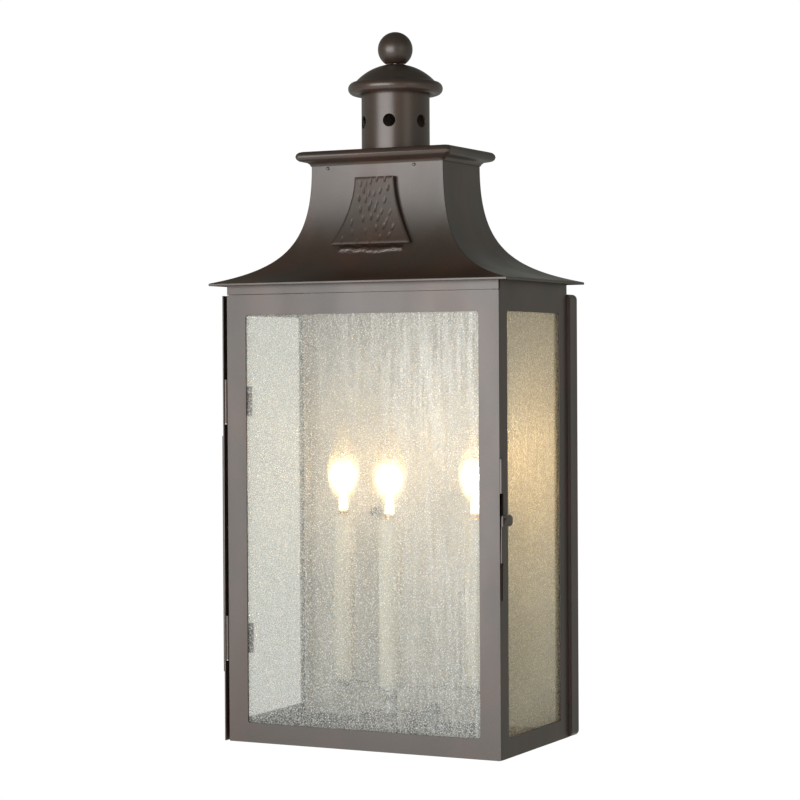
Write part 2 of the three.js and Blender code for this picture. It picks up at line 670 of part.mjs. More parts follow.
function cornice() {
  const beadZ = corniceTop - CORNICE_BEAD;
  const reach = CORNICE_OVERHANG - CORNICE_BEAD;
  const profile = [
    [1.5, corniceZ],
    [2.2, corniceZ + 0.4 * CORNICE_SKIRT],
    [4, corniceZ + 0.8 * CORNICE_SKIRT],
  ];
  for (let i = 0; i <= 6; i += 1) {
    const angle = -Math.PI / 2 + (i * Math.PI) / 6;
    profile.push([reach + CORNICE_BEAD * Math.cos(angle), beadZ + CORNICE_BEAD * Math.sin(angle)]);
  }
  const rings = profile.map(([out, z]) => roundedRing(neckHalfX + out, neckHalfY + out, z, CORNICE_CORNER));
  const block = (grow, height) =>
    box([-neckHalfX - grow, neckHalfX + grow], [-neckHalfY - grow, neckHalfY + grow], height);
  const collarFoot = corniceZ - CORNICE_COLLAR;
  const collarFace = -SHEET - GAP;
  const neckSlot = cut(
    block(GAP, [corniceZ - 1, corniceUnderside]),
    block(collarFace, [corniceZ - 2, corniceTop + 1]),
  );
  const inside = block(collarFace - COLLAR_SHEET, [collarFoot - 1, corniceUnderside]);
  const chimneyHole = turned(rod(boreOf(CHIMNEY_RADIUS), [corniceZ, corniceTop + 1]), ROUND);
  const solidTop = join(skin(rings, false), block(collarFace, [collarFoot, corniceTop - 1]));
  const open = cut(solidTop, neckSlot, inside, chimneyHole, ...rivetHoles(-neckHalfY));
  add('cornice_plate', open, PAINT, crown);
  const head = -neckHalfY - GAP;
  const tail = -neckHalfY + SHEET + GAP + COLLAR_SHEET;
  const rivet = [
    [0, head - 1], [RIVET_HEAD * 0.8, head - 0.8], [RIVET_HEAD, head],
    [RIVET_RADIUS, head], [RIVET_RADIUS, tail], [0, tail],
  ];
  ['neck_rivet_left', 'neck_rivet_right'].forEach((name, i) => {
    add(name, turnedAlongY(rivet, 12).translate(NECK_RIVETS[i], 0, corniceZ - RIVET_DROP), PAINT, crown);
  });
}

function badge() {
  const [topDrop, bottomDrop] = BADGE_DROP;
  const steps = 9;
  const rings = [];
  for (let i = 0; i <= steps; i += 1) {
    const down = i / steps;
    const z = corniceZ - topDrop - down * (bottomDrop - topDrop);
    const flare = down ** BADGE_FLARE;
    const half = (BADGE_TOP_WIDTH + flare * (BADGE_BOTTOM_WIDTH - BADGE_TOP_WIDTH)) / 2;
    const back = roofFrontAt(z) - BADGE_STAND_OFF;
    const front = back - BADGE_THICKNESS;
    rings.push([[-half, front, z], [half, front, z], [half, back, z], [-half, back, z]]);
  }
  add('badge_plate', skin(rings, false), HAMMERED, roof);
}

// ---- Chimney, cap and finial -----------------------------------------------------------------

const chimneyTop = corniceTop + CHIMNEY_HEIGHT;
const capBeadZ = chimneyTop - CAP_DROP;
const domeTop = capBeadZ + CAP_RISE;
const strapTop = chimneyTop - STRAP_DROP;

function chimneyTube() {
  const foot = corniceUnderside - GAP - SHEET;
  const profile = [
    [CHIMNEY_RADIUS - SHEET, foot],
    [CHIMNEY_RADIUS + CHIMNEY_FLANGE, foot],
    [CHIMNEY_RADIUS + CHIMNEY_FLANGE, foot + SHEET],
    [CHIMNEY_RADIUS, foot + SHEET],
    [CHIMNEY_RADIUS, chimneyTop],
    [CHIMNEY_RADIUS - SHEET, chimneyTop],
  ];
  const vents = [0, 1, 2].map((i) => {
    const drill = turnedAlongY(rod(VENT_RADIUS, [-CHIMNEY_RADIUS - 2, CHIMNEY_RADIUS + 2]), 16);
    const angle = THREE.MathUtils.degToRad(VENT_ANGLE + 60 * i);
    return drill.rotateZ(angle).translate(0, 0, corniceTop + VENT_HEIGHT);
  });
  add('chimney_tube', cut(turned(profile, ROUND), ...vents), PAINT, crown);
}

function capFixings() {
  const reach = Math.sqrt((CHIMNEY_RADIUS - SHEET - GAP) ** 2 - (STRAP_WIDTH / 2) ** 2);
  const strap = box(
    [-reach, reach],
    [-STRAP_WIDTH / 2, STRAP_WIDTH / 2],
    [strapTop - STRAP_THICKNESS, strapTop],
  );
  const drill = turned(rod(boreOf(ROD_RADIUS), [strapTop - 20, strapTop + 20]), 16);
  add('chimney_strap', cut(strap, drill), STEEL, crown);
  const nutTop = strapTop - STRAP_THICKNESS - GAP;
  const nut = turned(rod(NUT_RADIUS, [nutTop - NUT_HEIGHT, nutTop]), 6);
  add('rod_nut', cut(nut, drill), STEEL, crown);
  const rodFoot = nutTop - NUT_HEIGHT - ROD_PAST_NUT;
  add('finial_rod', turned(rod(ROD_RADIUS, [rodFoot, domeTop + ROD_IN_FINIAL]), 16), STEEL, crown);
}

function chimneyCap() {
  const beadX = capRadius - CAP_BEAD;
  const rimX = beadX - 0.9;
  const rimRise = CAP_BEAD + 0.4;
  // The dome is a part of a sphere through its top and its rim.
  const drop = CAP_RISE - rimRise;
  const sphere = (rimX ** 2 + drop ** 2) / (2 * drop);
  const centreZ = domeTop - sphere;
  const bore = boreOf(ROD_RADIUS);
  const arc = (radius, fromR, toR, steps) => Array.from({ length: steps + 1 }, (_, i) => {
    const from = Math.asin(fromR / radius);
    const angle = from + (i / steps) * (Math.asin(toR / radius) - from);
    return [radius * Math.sin(angle), centreZ + radius * Math.cos(angle)];
  });
  const bead = Array.from({ length: 9 }, (_, i) => {
    const angle = THREE.MathUtils.degToRad(80 - i * 32.5);
    return [beadX + CAP_BEAD * Math.cos(angle), capBeadZ + CAP_BEAD * Math.sin(angle)];
  });
  const inside = arc(sphere - SHEET, bore, beadX - 2.5, 4).reverse();
  add('chimney_cap', turned([...arc(sphere, bore, rimX, 5), ...bead, ...inside], ROUND), PAINT, crown);
}

function finial() {
  const seat = domeTop + GAP;
  const centreZ = seat + Math.sqrt(FINIAL_RADIUS ** 2 - FINIAL_SEAT ** 2);
  const low = Math.asin(FINIAL_SEAT / FINIAL_RADIUS);
  const profile = Array.from({ length: 11 }, (_, i) => {
    const angle = (i / 10) * (Math.PI - low);
    return [FINIAL_RADIUS * Math.sin(angle), centreZ + FINIAL_RADIUS * Math.cos(angle)];
  });
  const bore = boreOf(ROD_RADIUS);
  const boreTop = domeTop + ROD_IN_FINIAL + GAP;
  profile.push([bore, seat], [bore, boreTop], [0, boreTop]);
  add('ball_finial', turned(profile, 20), PAINT, crown);
}

// ---- Lamps -----------------------------------------------------------------------------------

const bracketTop = BRACKET_HEIGHT + BRACKET_SHEET;
const sleeveFoot = bracketTop + GAP;
const socketTop = SLEEVE_TOP - 4;
const baseFoot = socketTop - SOCKET_DEPTH + 2 * GAP;
const baseTop = SLEEVE_TOP + BASE_EXPOSED;
const lampPlace = ([x, back]) => [x, frontY + back];

function lampBracket() {
  const places = Object.values(LAMPS).map(lampPlace);
  const half = BRACKET_WIDTH / 2;
  const height = [BRACKET_HEIGHT, bracketTop];
  const pads = places.map(([x, y]) => turned(rod(half, height)).translate(x, y, 0));
  const bars = [[0, 1], [1, 2]].map(([a, b]) => {
    const [ax, ay] = places[a];
    const [bx, by] = places[b];
    const length = Math.hypot(bx - ax, by - ay);
    const bar = box([0, length], [-half, half], height).rotateZ(Math.atan2(by - ay, bx - ax));
    return bar.translate(ax, ay, 0);
  });
  const holes = places.map(([x, y]) =>
    turned(rod(boreOf(NIPPLE_RADIUS), [BRACKET_HEIGHT - 2, bracketTop + 2]), 16).translate(x, y, 0));
  add('lamp_bracket', cut(join(...pads, ...bars), ...holes), STEEL);
}

function canopyAndStem() {
  const [x, y] = lampPlace(LAMPS.middle);
  const group = placed(x, y, SHEET + GAP);
  const inner = CANOPY_RADIUS - CANOPY_WALL;
  const hole = boreOf(STEM_RADIUS);
  const profile = [
    [CANOPY_RADIUS, 0],
    [CANOPY_RADIUS, CANOPY_HEIGHT - 7],
    [CANOPY_RADIUS - 2.5, CANOPY_HEIGHT - 2],
    [CANOPY_RADIUS - 8, CANOPY_HEIGHT],
    [hole, CANOPY_HEIGHT],
    [hole, CANOPY_HEIGHT - CANOPY_WALL],
    [CANOPY_RADIUS - 8.5, CANOPY_HEIGHT - CANOPY_WALL],
    [CANOPY_RADIUS - 3.6, CANOPY_HEIGHT - 3],
    [inner, CANOPY_HEIGHT - 7.3],
    [inner, 0],
  ];
  const leadZ = leadHeight - SHEET - GAP;
  const exit = turnedAlongY(rod(LEAD_RADIUS + 2 * GAP, [10, CANOPY_RADIUS + 5]), 16).translate(0, 0, leadZ);
  add('lamp_canopy', cut(turned(profile, 24), exit), PAINT, group);
  const foot = CANOPY_HEIGHT - 4;
  const top = BRACKET_HEIGHT - SHEET - 2 * GAP;
  add('bracket_stem', turned(pipe(boreOf(NIPPLE_RADIUS), STEM_RADIUS, [foot, top]), 20), STEEL, group);
}

function bulbGlass() {
  const foot = baseTop + GAP;
  const outline = new THREE.SplineCurve([
    new THREE.Vector2(5.4, foot),
    new THREE.Vector2(6, foot + 0.1 * BULB_LENGTH),
    new THREE.Vector2(0.8 * BULB_RADIUS, foot + 0.25 * BULB_LENGTH),
    new THREE.Vector2(BULB_RADIUS, foot + 0.41 * BULB_LENGTH),
    new THREE.Vector2(0.84 * BULB_RADIUS, foot + 0.62 * BULB_LENGTH),
    new THREE.Vector2(0.42 * BULB_RADIUS, foot + 0.85 * BULB_LENGTH),
    new THREE.Vector2(2.4, foot + 0.975 * BULB_LENGTH),
  ]);
  const outer = outline.getPoints(8).map((point) => [point.x, point.y]);
  const inner = outer.map(([radius, z]) => [Math.max(radius - BULB_WALL, 0.8), z]).reverse();
  const tip = foot + BULB_LENGTH;
  inner[0][1] -= 2;
  return [[0, tip], ...outer.reverse(), ...inner.reverse(), [0, tip - 4]];
}

function lamp(name, place) {
  const [x, y] = lampPlace(place);
  const group = placed(x, y, 0);
  const inner = SLEEVE_RADIUS - SLEEVE_WALL;
  add(`${name}_candle_sleeve`, turned(pipe(inner, SLEEVE_RADIUS, [sleeveFoot, SLEEVE_TOP])), CREAM, group);
  const bodyFoot = socketTop - SOCKET_LENGTH;
  const bodyRadius = inner - GAP;
  const recess = socketTop - SOCKET_DEPTH;
  const recessRadius = BASE_RADIUS + 2 * GAP;
  const nippleFoot = BRACKET_HEIGHT - NIPPLE_DROP;
  const socket = [
    [0, nippleFoot], [NIPPLE_RADIUS, nippleFoot], [NIPPLE_RADIUS, bodyFoot], [bodyRadius, bodyFoot],
    [bodyRadius, socketTop], [recessRadius, socketTop], [recessRadius, recess], [0, recess],
  ];
  add(`${name}_lamp_socket`, turned(socket), PHENOLIC, group);
  const base = [
    [0, baseFoot], [3, baseFoot], [BASE_RADIUS, baseFoot + 4], [BASE_RADIUS, baseTop], [0, baseTop],
  ];
  add(`${name}_bulb_base`, turned(base), BRASS, group);
  add(`${name}_bulb_glass`, turned(bulbGlass()), CLEAR, group);
}

function lampLead() {
  const start = frontY + LAMPS.middle[1] + CANOPY_RADIUS - 7;
  const cavity = -LEAD_RADIUS - 2;
  const route = new THREE.CatmullRomCurve3([
    new THREE.Vector3(0, start, leadHeight),
    new THREE.Vector3(0, (start + backY) / 2, leadHeight),
    new THREE.Vector3(0, backY - 2, leadHeight),
    new THREE.Vector3(0, cavity - 5.5, leadHeight + 0.3),
    new THREE.Vector3(0, cavity - 1.4, leadHeight + 3.5),
    new THREE.Vector3(0, cavity - 0.2, leadHeight + 10),
    new THREE.Vector3(0, cavity, leadHeight + 30),
    new THREE.Vector3(0, cavity, mountZ - 60),
  ]);
  const section = new THREE.Shape();
  section.absarc(0, 0, LEAD_RADIUS, 0, 2 * Math.PI);
  const cord = new THREE.ExtrudeGeometry(section, { steps: 30, curveSegments: 4, extrudePath: route });
  add('lamp_lead', cord, RUBBER);

  const front = reflectorFront - GAP;
  const rear = panFront + SHEET + GAP;
  const bore = LEAD_RADIUS + 2 * GAP;
  const shank = grommetHole - GAP;
  const grommet = [
    [bore, front - GROMMET_THICKNESS], [GROMMET_FLANGE, front - GROMMET_THICKNESS],
    [GROMMET_FLANGE, front], [shank, front], [shank, rear], [GROMMET_FLANGE, rear],
    [GROMMET_FLANGE, rear + GROMMET_THICKNESS], [bore, rear + GROMMET_THICKNESS],
  ];
  add('lead_grommet', turnedAlongY(grommet, 16).translate(0, 0, leadHeight), RUBBER);
}

function lamps() {
  lampBracket();
  canopyAndStem();
  Object.entries(LAMPS).forEach(([name, place]) => lamp(name, place));
  lampLead();
}

// ---- Wall fixing -----------------------------------------------------------------------------

function wallFixing() {
  const { length, width, thickness } = CROSSBAR;
  const shape = roundedRectangle(-length / 2, -width / 2, length / 2, width / 2, 6);
  [-1, 1].forEach((side) => {
    const x = side * CROSSBAR_SLOT.spacing / 2;
    const halfSlot = CROSSBAR_SLOT.length / 2;
    const r = CROSSBAR_SLOT.width / 2;
    shape.holes.push(roundedRectangle(x - halfSlot, -r, x + halfSlot, r, r - 0.01, THREE.Path));
  });
  const bar = upright(shape, [-thickness, 0], 2);
  const drill = (x) => turnedAlongY(rod(boreOf(STUD_RADIUS), [-thickness - 1, 1]), 16).translate(x, 0, 0);
  const holes = [-STUD_SPACING / 2, STUD_SPACING / 2, GROUND_SCREW_X].map(drill);
  const group = placed(0, 0, mountZ);
  add('mounting_crossbar', cut(bar, ...holes), STEEL, group);
  const head = -thickness - GAP;
  const ground = [
    [0, head - 2.4], [GROUND_HEAD_RADIUS, head - 1.6], [GROUND_HEAD_RADIUS, head],
    [STUD_RADIUS, head], [STUD_RADIUS, -0.2], [0, -0.2],
  ];
  add('ground_screw', turnedAlongY(ground, 16).translate(GROUND_SCREW_X, 0, 0), BRASS, group);

  const nutBack = reflectorFront - GAP;
  const studFront = reflectorFront - STUD_FRONT;
  [['left', -1], ['right', 1]].forEach(([name, side]) => {
    const x = side * STUD_SPACING / 2;
    const stud = turnedAlongY(rod(STUD_RADIUS, [studFront, -0.2]), 16);
    add(`mounting_stud_${name}`, stud.translate(x, 0, 0), STEEL, group);
    const { hexRadius, hexHeight, domeRadius, height } = CAP_NUT;
    const hex = turnedAlongY(rod(hexRadius, [nutBack - hexHeight, nutBack]), 6);
    const dome = [
      [0, nutBack - height],
      [0.6 * domeRadius, nutBack - 0.94 * height],
      [domeRadius, nutBack - 0.7 * height],
      [domeRadius, nutBack - 0.9 * hexHeight],
      [0, nutBack - 0.9 * hexHeight],
    ];
    const blind = turnedAlongY(rod(boreOf(STUD_RADIUS), [studFront - 1, nutBack + 1]), 16);
    add(`cap_nut_${name}`, cut(join(hex, turnedAlongY(dome, 12)), blind).translate(x, 0, 0), PAINT, group);
  });
}

// ---- Build -----------------------------------------------------------------------------------

wallPan();
backPanel();
reflector();
bottomPlate();
sideFrame('left_side_frame', -1);
sideFrame('right_side_frame', 1);
headerRail();
windows();
doorFrame();
latch();
hinges();
roofShell();
cornice();
badge();
chimneyTube();
capFixings();
chimneyCap();
finial();
lamps();
wallFixing();

export default lantern;
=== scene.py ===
import json
import math

import bmesh
import bpy
from bpy.props import FloatProperty, FloatVectorProperty, IntProperty, PointerProperty
from bpy.types import Operator, Panel, PropertyGroup
from mathutils import Matrix, Vector


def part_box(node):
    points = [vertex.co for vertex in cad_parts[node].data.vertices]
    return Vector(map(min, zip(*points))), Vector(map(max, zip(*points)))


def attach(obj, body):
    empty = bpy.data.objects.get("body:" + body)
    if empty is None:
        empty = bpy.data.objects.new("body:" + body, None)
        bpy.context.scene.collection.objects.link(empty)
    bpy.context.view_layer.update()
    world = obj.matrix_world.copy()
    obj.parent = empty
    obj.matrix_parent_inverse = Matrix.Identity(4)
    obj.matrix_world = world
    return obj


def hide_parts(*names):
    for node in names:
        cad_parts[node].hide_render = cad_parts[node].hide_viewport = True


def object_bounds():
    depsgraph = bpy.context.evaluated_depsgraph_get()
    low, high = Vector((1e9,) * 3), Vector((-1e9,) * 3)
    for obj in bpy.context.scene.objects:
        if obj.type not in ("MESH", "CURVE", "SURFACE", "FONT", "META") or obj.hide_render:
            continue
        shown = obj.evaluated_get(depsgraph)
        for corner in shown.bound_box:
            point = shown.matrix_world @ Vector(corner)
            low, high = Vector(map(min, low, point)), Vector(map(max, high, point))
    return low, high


bl_info = {
    "name": "Wall Lantern",
    "version": (1, 0, 0),
    "blender": (4, 5, 0),
    "location": "View3D > Sidebar > Lantern",
    "description": "Builds the visible pieces and finishes of an outdoor wall lantern",
    "category": "Add Mesh",
}

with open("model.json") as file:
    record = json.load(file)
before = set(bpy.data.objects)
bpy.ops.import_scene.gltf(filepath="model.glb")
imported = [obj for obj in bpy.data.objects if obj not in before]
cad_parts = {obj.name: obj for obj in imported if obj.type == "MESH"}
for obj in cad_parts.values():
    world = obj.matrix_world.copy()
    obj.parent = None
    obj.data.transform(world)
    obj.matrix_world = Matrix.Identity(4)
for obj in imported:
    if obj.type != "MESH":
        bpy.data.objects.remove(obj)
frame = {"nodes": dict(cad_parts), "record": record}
CAD_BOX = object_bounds()

MM = 0.001
SLOT_OF = {part["node"]: part["material_slot"] for part in frame["record"]["subparts"]}
BODIES = frame["record"]["behaviour"]["bodies"]
BODY_OF = {node: body for body, nodes in BODIES.items() for node in nodes}
LAMP_NAMES = ("left", "middle", "right")
LAMP_SHARES = {"left": 0.55, "middle": 0.2, "right": 1.2}


# ---- Settings --------------------------------------------------------------------------------


class PaintSettings(PropertyGroup):
    brown: FloatVectorProperty(
        name="Brown", description="Main colour of the bronze paint", subtype="COLOR",
        default=(0.042, 0.028, 0.020), min=0, max=1,
    )
    red_brown: FloatVectorProperty(
        name="Red brown", description="Warmer clouds in the paint", subtype="COLOR",
        default=(0.064, 0.031, 0.020), min=0, max=1,
    )
    roughness: FloatProperty(
        name="Roughness", description="Roughness of the satin coat", subtype="FACTOR",
        default=0.36, min=0, max=1,
    )
    peel: FloatProperty(
        name="Orange peel", description="Height of the sprayed texture", unit="LENGTH",
        default=0.02 * MM, min=0, max=MM,
    )


class SheetSettings(PropertyGroup):
    fold: FloatProperty(
        name="Fold radius", description="Rounding of the sheet's edges", unit="LENGTH",
        default=0.28 * MM, min=0.05 * MM, max=MM,
    )
    wall: FloatProperty(
        name="Sheet", description="Thickness of the roof sheet", unit="LENGTH",
        default=1.5 * MM, min=0.5 * MM, max=3 * MM,
    )


class RoofSettings(PropertyGroup):
    steps: IntProperty(name="Steps", description="Steps along the sweep", default=44, min=8, max=96)
    crease: FloatProperty(
        name="Hip radius", description="Rounding of the four hips", unit="LENGTH",
        default=0.7 * MM, min=0.1 * MM, max=3 * MM,
    )


class BadgeSettings(PropertyGroup):
    dents_across: IntProperty(name="Dents across", description="Hammer marks in a row", default=5, min=2, max=12)
    dents_up: IntProperty(name="Rows of dents", description="Rows of hammer marks", default=7, min=2, max=12)
    depth: FloatProperty(
        name="Dent depth", description="Depth of one hammer mark", unit="LENGTH",
        default=0.7 * MM, min=0, max=2 * MM,
    )


class GlassSettings(PropertyGroup):
    tint: FloatVectorProperty(
        name="Tint", description="Colour of the glass", subtype="COLOR",
        default=(0.91, 0.92, 0.91), min=0, max=1,
    )
    # Painted lamp glow: a warm colour given to the right pane, which stands nearest the brightest lamp.
    painted_glow_tint: FloatVectorProperty(
        name="Painted glow", description="Colour of the pane nearest a lamp", subtype="COLOR",
        default=(1.0, 0.90, 0.68), min=0, max=1,
    )
    shade: FloatVectorProperty(
        name="Shade", description="Colour between the seeds", subtype="COLOR",
        default=(0.60, 0.61, 0.605), min=0, max=1,
    )
    veil: FloatProperty(
        name="Veil", description="How much each face hides", subtype="FACTOR",
        default=0.10, min=0, max=1,
    )
    seed_spacing: FloatProperty(
        name="Seed spacing", description="Distance between bubbles", unit="LENGTH",
        default=1.75 * MM, min=MM, max=30 * MM,
    )


class LampSettings(PropertyGroup):
    glow: FloatVectorProperty(
        name="Glow", description="Colour of the lamp's light", subtype="COLOR",
        default=(1.0, 0.72, 0.40), min=0, max=1,
    )
    power: FloatProperty(
        name="Power", description="Light from one lamp, in watts", unit="POWER",
        default=0.16, min=0, max=10,
    )
    brightness: FloatProperty(
        name="Brightness", description="Glow of the lamp's glass", default=7.0, min=0, max=100,
    )
    filament_turns: IntProperty(
        name="Filament turns", description="Turns of the filament's coil", default=26, min=6, max=80,
    )


class StageSettings(PropertyGroup):
    azimuth: FloatProperty(
        name="Azimuth", description="Camera's turn from the front", subtype="ANGLE",
        default=math.radians(27.0),
    )
    elevation: FloatProperty(
        name="Elevation", description="Camera's height angle", subtype="ANGLE",
        default=math.radians(0.74),
    )
    roll: FloatProperty(
        name="Roll", description="Camera's roll", subtype="ANGLE", default=math.radians(-0.32),
    )
    distance: FloatProperty(
        name="Distance", description="Camera to its aim", unit="LENGTH", default=2.226, min=0.5,
    )
    aim: FloatVectorProperty(
        name="Aim", description="Point the camera looks at", subtype="TRANSLATION", unit="LENGTH",
        default=(0.011, -0.1104, 0.1106),
    )
    lens: FloatProperty(
        name="Lens", description="Focal length in millimetres", default=107.47, min=20,
    )


SETTINGS = (
    ("paint", PaintSettings),
    ("sheet", SheetSettings),
    ("roof", RoofSettings),
    ("badge", BadgeSettings),
    ("glass", GlassSettings),
    ("lamp", LampSettings),
    ("stage", StageSettings),
)


def settings(group):
    return getattr(bpy.context.scene, f"lantern_{group}")


# ---- Shader helpers --------------------------------------------------------------------------


class Wire:
    """A value in a material: an expression on it adds the Math nodes that work it out."""

    def __init__(self, recipe, socket):
        self.recipe = recipe
        self.socket = socket

    def maths(self, operation, *values):
        inputs = dict(enumerate(values))
        return self.recipe.node("ShaderNodeMath", {"operation": operation}, inputs)

    def __add__(self, other):
        return self.maths("ADD", self, other)

    def __mul__(self, other):
        return self.maths("MULTIPLY", self, other)

    def __sub__(self, other):
        return self.maths("SUBTRACT", self, other)

    def __rsub__(self, other):
        return self.maths("SUBTRACT", other, self)

    __radd__ = __add__
    __rmul__ = __mul__

    def band(self, low, high, to_low=0.0, to_high=1.0):
        """Runs from to_low to to_high, smoothly, while this value goes from low to high."""
        sockets = {0: self, 1: low, 2: high, 3: to_low, 4: to_high}
        return self.recipe.node("ShaderNodeMapRange", {"interpolation_type": "SMOOTHSTEP"}, sockets)


class Recipe:
    """The node tree of one material or of the world."""

    def __init__(self, owner):
        owner.use_nodes = True
        self.owner = owner
        self.tree = owner.node_tree
        self.tree.nodes.clear()

    def node(self, kind, choices=None, inputs=None, output=0):
        """Adds a node of a type, sets its choices, then feeds its sockets with values or wires."""
        made = self.tree.nodes.new(kind)
        for name, choice in (choices or {}).items():
            setattr(made, name, choice)
        for name, value in (inputs or {}).items():
            socket = made.inputs[name]
            if isinstance(value, Wire):
                self.tree.links.new(value.socket, socket)
            elif hasattr(socket.default_value, "__len__") and len(socket.default_value) == 4:
                socket.default_value = (*value[:3], 1.0)
            else:
                socket.default_value = value
        return Wire(self, made.outputs[output])

    def object_place(self, scale=(1, 1, 1), turn=(0, 0, 0)):
        place = self.node("ShaderNodeTexCoord", output="Object")
        return self.node("ShaderNodeMapping", {}, {"Vector": place, "Scale": scale, "Rotation": turn})

    def noise(self, place, scale, detail=3.0, roughness=0.5):
        inputs = {"Vector": place, "Scale": scale, "Detail": detail, "Roughness": roughness}
        return self.node("ShaderNodeTexNoise", {}, inputs)

    def mix_colour(self, factor, first, second, blend="MIX"):
        choices = {"data_type": "RGBA", "blend_type": blend}
        return self.node("ShaderNodeMix", choices, {0: factor, 6: first, 7: second}, output=2)

    def bump(self, height, distance, strength=1.0):
        return self.node("ShaderNodeBump", {}, {"Height": height, "Distance": distance, "Strength": strength})

    def principled(self, **sockets):
        named = {name.replace("_", " "): value for name, value in sockets.items()}
        return self.node("ShaderNodeBsdfPrincipled", {}, named)

    def mix_shader(self, factor, first, second):
        return self.node("ShaderNodeMixShader", {}, {0: factor, 1: first, 2: second})

    def surface(self, shader, kind="ShaderNodeOutputMaterial"):
        output = self.tree.nodes.new(kind)
        self.tree.links.new(shader.socket, output.inputs["Surface"])
        return self.owner


# ---- Finishes --------------------------------------------------------------------------------


def bronze_paint(name="bronze_paint", pits=0.0, shine=1.0, run=None):
    """Satin bronze paint: brown with warmer clouds, fine flakes and a sprayed texture.

    A run is a ragged bead of paint lying across the front, given by its height and half length."""
    look = settings("paint")
    recipe = Recipe(bpy.data.materials.new(name))
    place = recipe.object_place()
    clouds = recipe.noise(place, 13, 5, 0.6).band(0.38, 0.66)
    flakes = recipe.noise(place, 1300, 1).band(0.64, 0.74)
    smears = recipe.noise(recipe.object_place((30, 30, 7)), 1, 4).band(0.3, 0.8)
    colour = recipe.mix_colour(clouds, look.brown, look.red_brown)
    colour = recipe.mix_colour(flakes * 0.3, colour, (0.16, 0.12, 0.09))
    roughness = look.roughness + 0.16 * (1 - shine) - 0.05 + smears * 0.09 + flakes * 0.05
    peel = recipe.noise(place, 700, 2)
    height = peel + recipe.noise(place, 180, 2) * pits
    normal = recipe.bump(height, look.peel)
    if run:
        axes = [recipe.node("ShaderNodeSeparateXYZ", {}, {0: place}, output=i) for i in range(3)]
        ragged = (recipe.noise(place, 70, 4, 0.65) - 0.5) * 11 * MM
        along = axes[2] + ragged * 0.6
        bead = along.band(run[0] - 4 * MM, run[0] + 1 * MM) * along.band(run[0] + 1 * MM, run[0] + 4 * MM, 1.0, 0.0)
        middle = axes[0].maths("ABSOLUTE", axes[0]) + ragged
        front = axes[1].band(-110 * MM, -100 * MM, 1.0, 0.0)
        bead = bead * middle.band(run[1] - 3 * MM, run[1] + 2 * MM, 1.0, 0.0) * front
        roughness = roughness - bead * 0.05
        normal = recipe.node("ShaderNodeBump", {}, {"Height": bead, "Distance": 1.5 * MM, "Normal": normal})
    return recipe.surface(recipe.principled(
        Base_Color=colour, Roughness=roughness, Normal=normal, Metallic=0.12 * shine,
        Specular_IOR_Level=shine,
    ))


def hammered_paint():
    """The same paint, duller, over hammered sheet."""
    return bronze_paint("hammered_bronze_paint", pits=3.0, shine=0.6)


def roof_paint():
    """The paint with the bead that ran out under the hammered plate."""
    low, high = box_of("badge_plate")
    return bronze_paint("roof_paint", run=(low.z - 5 * MM, 0.8 * (high.x - low.x) / 2))


def rolled_aluminium():
    """Mill-finish sheet gone dull, with fine rolling lines and soft clouds."""
    recipe = Recipe(bpy.data.materials.new("rolled_aluminium"))
    lines = recipe.noise(recipe.object_place((1500, 1, 12)), 1, 3)
    clouds = recipe.noise(recipe.object_place(), 16, 4).band(0.3, 0.7)
    colour = recipe.mix_colour(clouds, (0.66, 0.64, 0.60), (0.52, 0.50, 0.47))
    return recipe.surface(recipe.principled(
        Base_Color=colour, Roughness=0.52 + lines * 0.16, Metallic=0.3,
        Normal=recipe.bump(lines, 0.01 * MM),
    ))


def zinc_plate():
    """Plated steel with a faint crystal pattern."""
    recipe = Recipe(bpy.data.materials.new("zinc_plate"))
    place = recipe.object_place()
    crystal = recipe.node("ShaderNodeTexVoronoi", {}, {"Vector": place, "Scale": 260}, output=0)
    grain = recipe.noise(place, 1800, 2)
    colour = recipe.mix_colour(crystal.band(0.1, 0.7), (0.62, 0.62, 0.60), (0.44, 0.44, 0.43))
    return recipe.surface(recipe.principled(
        Base_Color=colour, Roughness=0.3 + crystal * 0.2, Metallic=0.95,
        Normal=recipe.bump(grain, 0.008 * MM),
    ))


def turned_brass():
    """Brass with fine turning marks."""
    recipe = Recipe(bpy.data.materials.new("turned_brass"))
    marks = recipe.noise(recipe.object_place((4, 4, 2600)), 1, 2)
    tarnish = recipe.noise(recipe.object_place(), 120, 4).band(0.45, 0.75)
    colour = recipe.mix_colour(tarnish, (0.72, 0.53, 0.24), (0.50, 0.34, 0.15))
    return recipe.surface(recipe.principled(
        Base_Color=colour, Roughness=0.26 + tarnish * 0.2, Metallic=1.0,
        Normal=recipe.bump(marks, 0.01 * MM),
    ))


def ivory_sleeve():
    """Waxy ivory sleeve, a little warmer in its clouds."""
    recipe = Recipe(bpy.data.materials.new("ivory_sleeve"))
    place = recipe.object_place((1, 1, 0.35))
    clouds = recipe.noise(place, 60, 4)
    colour = recipe.mix_colour(clouds.band(0.3, 0.7), (0.86, 0.81, 0.70), (0.78, 0.71, 0.58))
    return recipe.surface(recipe.principled(
        Base_Color=colour, Roughness=0.46 + clouds * 0.12,
        Normal=recipe.bump(recipe.noise(place, 420, 2), 0.03 * MM),
    ))


def moulded_phenolic():
    """Dark moulded socket with a fine grain."""
    recipe = Recipe(bpy.data.materials.new("moulded_phenolic"))
    grain = recipe.noise(recipe.object_place(), 900, 3)
    colour = recipe.mix_colour(grain, (0.035, 0.028, 0.024), (0.075, 0.06, 0.05))
    return recipe.surface(recipe.principled(
        Base_Color=colour, Roughness=0.5 + grain * 0.2, Normal=recipe.bump(grain, 0.02 * MM),
    ))


